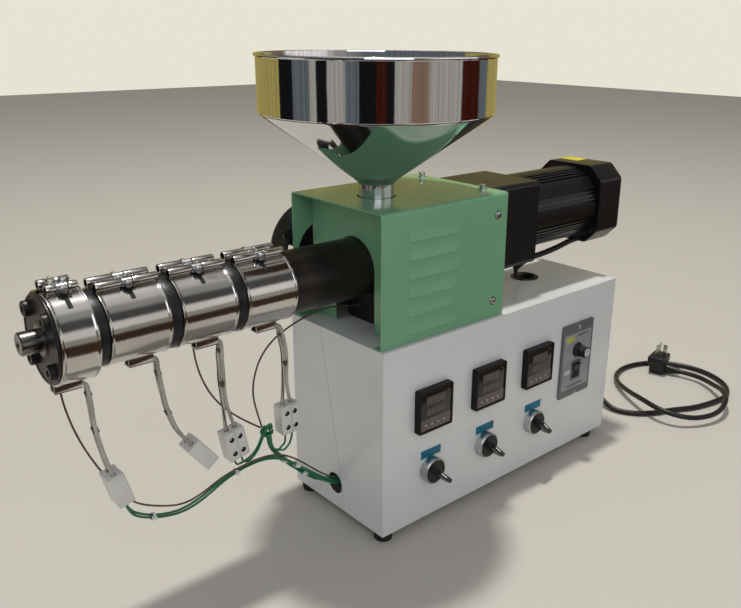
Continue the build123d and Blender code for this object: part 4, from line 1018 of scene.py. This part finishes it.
# Selector switches: brushed aluminium rings, and in each a black lever that turns a quarter. A
# white line is inlaid along the lever's top.
brushed = finish("brushed_aluminium", (0.60, 0.61, 0.62), 0.26, metallic=1.0, grain=2600, bump=0.16,
                 second=(0.42, 0.43, 0.44), stretch=(1.0, 0.06, 1.0))
dress("selector_switches", brushed, 0.3)
lever_plastic = finish("lever_plastic", (0.006, 0.006, 0.0062), 0.32, grain=900, bump=0.05, shine=0.3)
inlay = finish("white_inlay", (0.80, 0.80, 0.78), 0.4, spread=0.03)
lever_base = [(0, 3.8), (3.05, 3.8), (3.05, 0), (12.2, 0), (12.6, 0.4), (12.6, 4.2), (12.2, 4.6), (0, 4.6)]
lever_stations = [
    (-86.0, -12.2, 17.6, 6.0), (-89.5, -12.4, 18.4, 6.0), (-94.5, -12.2, 17.0, 5.6),
    (-98.5, -11.8, 14.2, 4.8), (-100.3, -11.3, 12.4, 4.2), (-100.9, -10.6, 11.4, 3.4)]
lever_z, rest_turn = 67, radians(45)
for number, control_x in enumerate(control_xs, 1):
    shape = bmesh.new()
    add_turned(shape, lever_base, (0, -81.4, 0), -along_y, 48)
    rings = []
    for at, back, reach, wide in lever_stations:
        corner = wide * 0.35
        ring = []
        for quarter, (end_x, side) in enumerate(((reach, 1), (back, 1), (back, -1), (reach, -1))):
            for k in range(5):
                angle = pi / 2 * (quarter + k / 4)
                ring.append((end_x - copysign(corner, end_x) + corner * cos(angle), at,
                             side * (wide / 2 - corner) + corner * sin(angle)))
        rings.append(ring)
    add_skin(shape, rings)
    add_box(shape, (-10, -101.0, -0.7), (1, -100.8, 0.7), 0.06, 1)
    shape.transform(laid((control_x * mm, 0, lever_z * mm), rest_turn, "Y"))
    lever = mesh_piece(f"lever_{number}_handle", shape, [lever_plastic, inlay], 34)
    place(lever, "lever_plastic", f"selector_lever_{number}", body=f"selector_{number}")

# Speed controller: a dark grey plate with a lighter printed field, a dial round the knob, two plain
# patches and two fixing screws. The rocker sits in a frame below.
panel_finishes = [finish("panel_light_grey", (0.245, 0.262, 0.268), 0.42, grain=1100, bump=0.06),
                  finish("yellow_patch", (0.42, 0.42, 0.085), 0.42, spread=0.08),
                  finish("pale_patch", (0.46, 0.47, 0.47), 0.42, spread=0.06),
                  finish("dark_print", (0.035, 0.036, 0.040), 0.45),
                  finish("white_print", (0.62, 0.64, 0.64), 0.45)]
dress("speed_panel", finish("panel_dark_grey", (0.115, 0.117, 0.120), 0.38, grain=1100, bump=0.06))
panel_x, knob_z, panel_face = 251.5, 139, -78.5
shape = bmesh.new()
for left, low, wide, high, rise, bevel, material in (
        (-26.6, 125.4, 53.2, 36.2, 0.14, 0.05, 0), (-26.6, 88.6, 17.2, 36.9, 0.14, 0.05, 0),
        (9.4, 88.6, 17.2, 36.9, 0.14, 0.05, 0), (-9.5, 88.6, 19, 11, 0.14, 0.05, 0),
        (-21.7, 150.8, 14.5, 7.6, 0.22, 0.05, 1), (-22, 109.3, 11.5, 5.8, 0.22, 0.05, 2),
        (-1, 156.6, 22, 1.7, 0.2, 0.04, 3), (-18, 92.2, 34, 1.4, 0.2, 0.04, 3)):
    left += panel_x
    add_box(shape, (left, panel_face - rise, low), (left + wide, panel_face + 0.05, low + high), bevel,
            material)
for tick in range(11):
    long = 2.6 if tick % 5 == 0 else 1.7
    add_box(shape, (10.6, panel_face - 0.24, -0.3), (10.6 + long, panel_face, 0.3), 0, 4, 2,
            laid((panel_x, 0, knob_z), radians(tick * 27 - 225), "Y"))
place(mesh_piece("panel_field", shape, panel_finishes, 30), "panel_grey")
shape = bmesh.new()
for screw_z in (168.4, 82.1):
    add_screw(shape, (252, panel_face, screw_z), -along_y, 2.7, 0, 1, 0.6)
place(mesh_piece("panel_screws", shape, [zinc, painted_gap_shade], 40), "turned_steel")
dress("rocker_switch", lever_plastic, 0.6)

# Speed knob: black moulded plastic with a flared skirt, flutes for the fingers and a pressed-in
# cap of light grey plastic with a pointer line.
knob_finishes = [finish("knob_plastic", (0.007, 0.007, 0.008), 0.36, grain=1200, bump=0.06, shine=0.35),
                 finish("knob_cap_grey", (0.44, 0.44, 0.45), 0.35, spread=0.05), panel_finishes[3]]
knob_back, flutes, flute_depth, knob_sides = -79.0, 20, 0.55, 160
knob_stations = [
    (3.05, 11.0, 0.0), (3.05, 0.0, 0.0), (9.2, 0.0, 0.0), (9.45, 0.3, 0.0), (9.2, 0.9, 0.0),
    (8.3, 3.0, 0.1), (7.7, 3.6, 0.6), (7.45, 4.4, 1.0), (7.2, 12.6, 1.0), (7.0, 13.6, 0.7),
    (6.6, 14.3, 0.2), (6.1, 14.6, 0.0), (5.5, 14.6, 0.0), (5.5, 14.1, 0.0)]
shape = bmesh.new()
rings = []
for radius, along, depth in knob_stations:
    ring = []
    for k in range(knob_sides):
        around = 2 * pi * k / knob_sides
        reach = radius - flute_depth * depth * (0.5 - 0.5 * cos(flutes * around)) ** 0.6
        ring.append((panel_x + reach * cos(around), knob_back - along,
                     knob_z + reach * sin(around)))
    rings.append(ring)
add_skin(shape, rings)
add_turned(shape, [(0, 0), (5.4, 0), (5.4, 0.7), (5.1, 1.0), (0, 1.0)], (panel_x, -93.0, knob_z), -along_y,
           40, 1)
add_box(shape, (panel_x - 0.4, -94.05, knob_z + 0.6), (panel_x + 0.4, -93.9, knob_z + 4.9), 0, 2)
place(mesh_piece("fluted_knob", shape, knob_finishes, 30), "knob_plastic", "speed_knob", body="knob")

# Hood screws: zinc-plated pan-head screws with washers in both sides, and two socket cap screws
# that stand up from the top near its far end.
shape = bmesh.new()
for x, z in ((100, 327), (98, 233.7)):
    for side in (-1, 1):
        out = along_y * side
        add_rod(shape, 4.7, 0.7, (x, side * hood_half, z), out)
        add_screw(shape, (x, side * (hood_half + 0.7), z), out, 3.3)
for x, y in ((105, 49), (103.6, -45.4)):
    add_turned(shape, [(0, 0), (5, 0), (5, 0.8), (3.6, 0.8), (3.6, 4.9), (3.2, 5.3), (1.7, 5.3), (1.7, 3),
                       (0, 3)], (x, y, hood_top), upward)
place(mesh_piece("hood_screws", shape, [zinc, painted_gap_shade], 34), "turned_steel")

size = {"cad": [list(v) for v in cad_box], "visual": [list(v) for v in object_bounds()]}
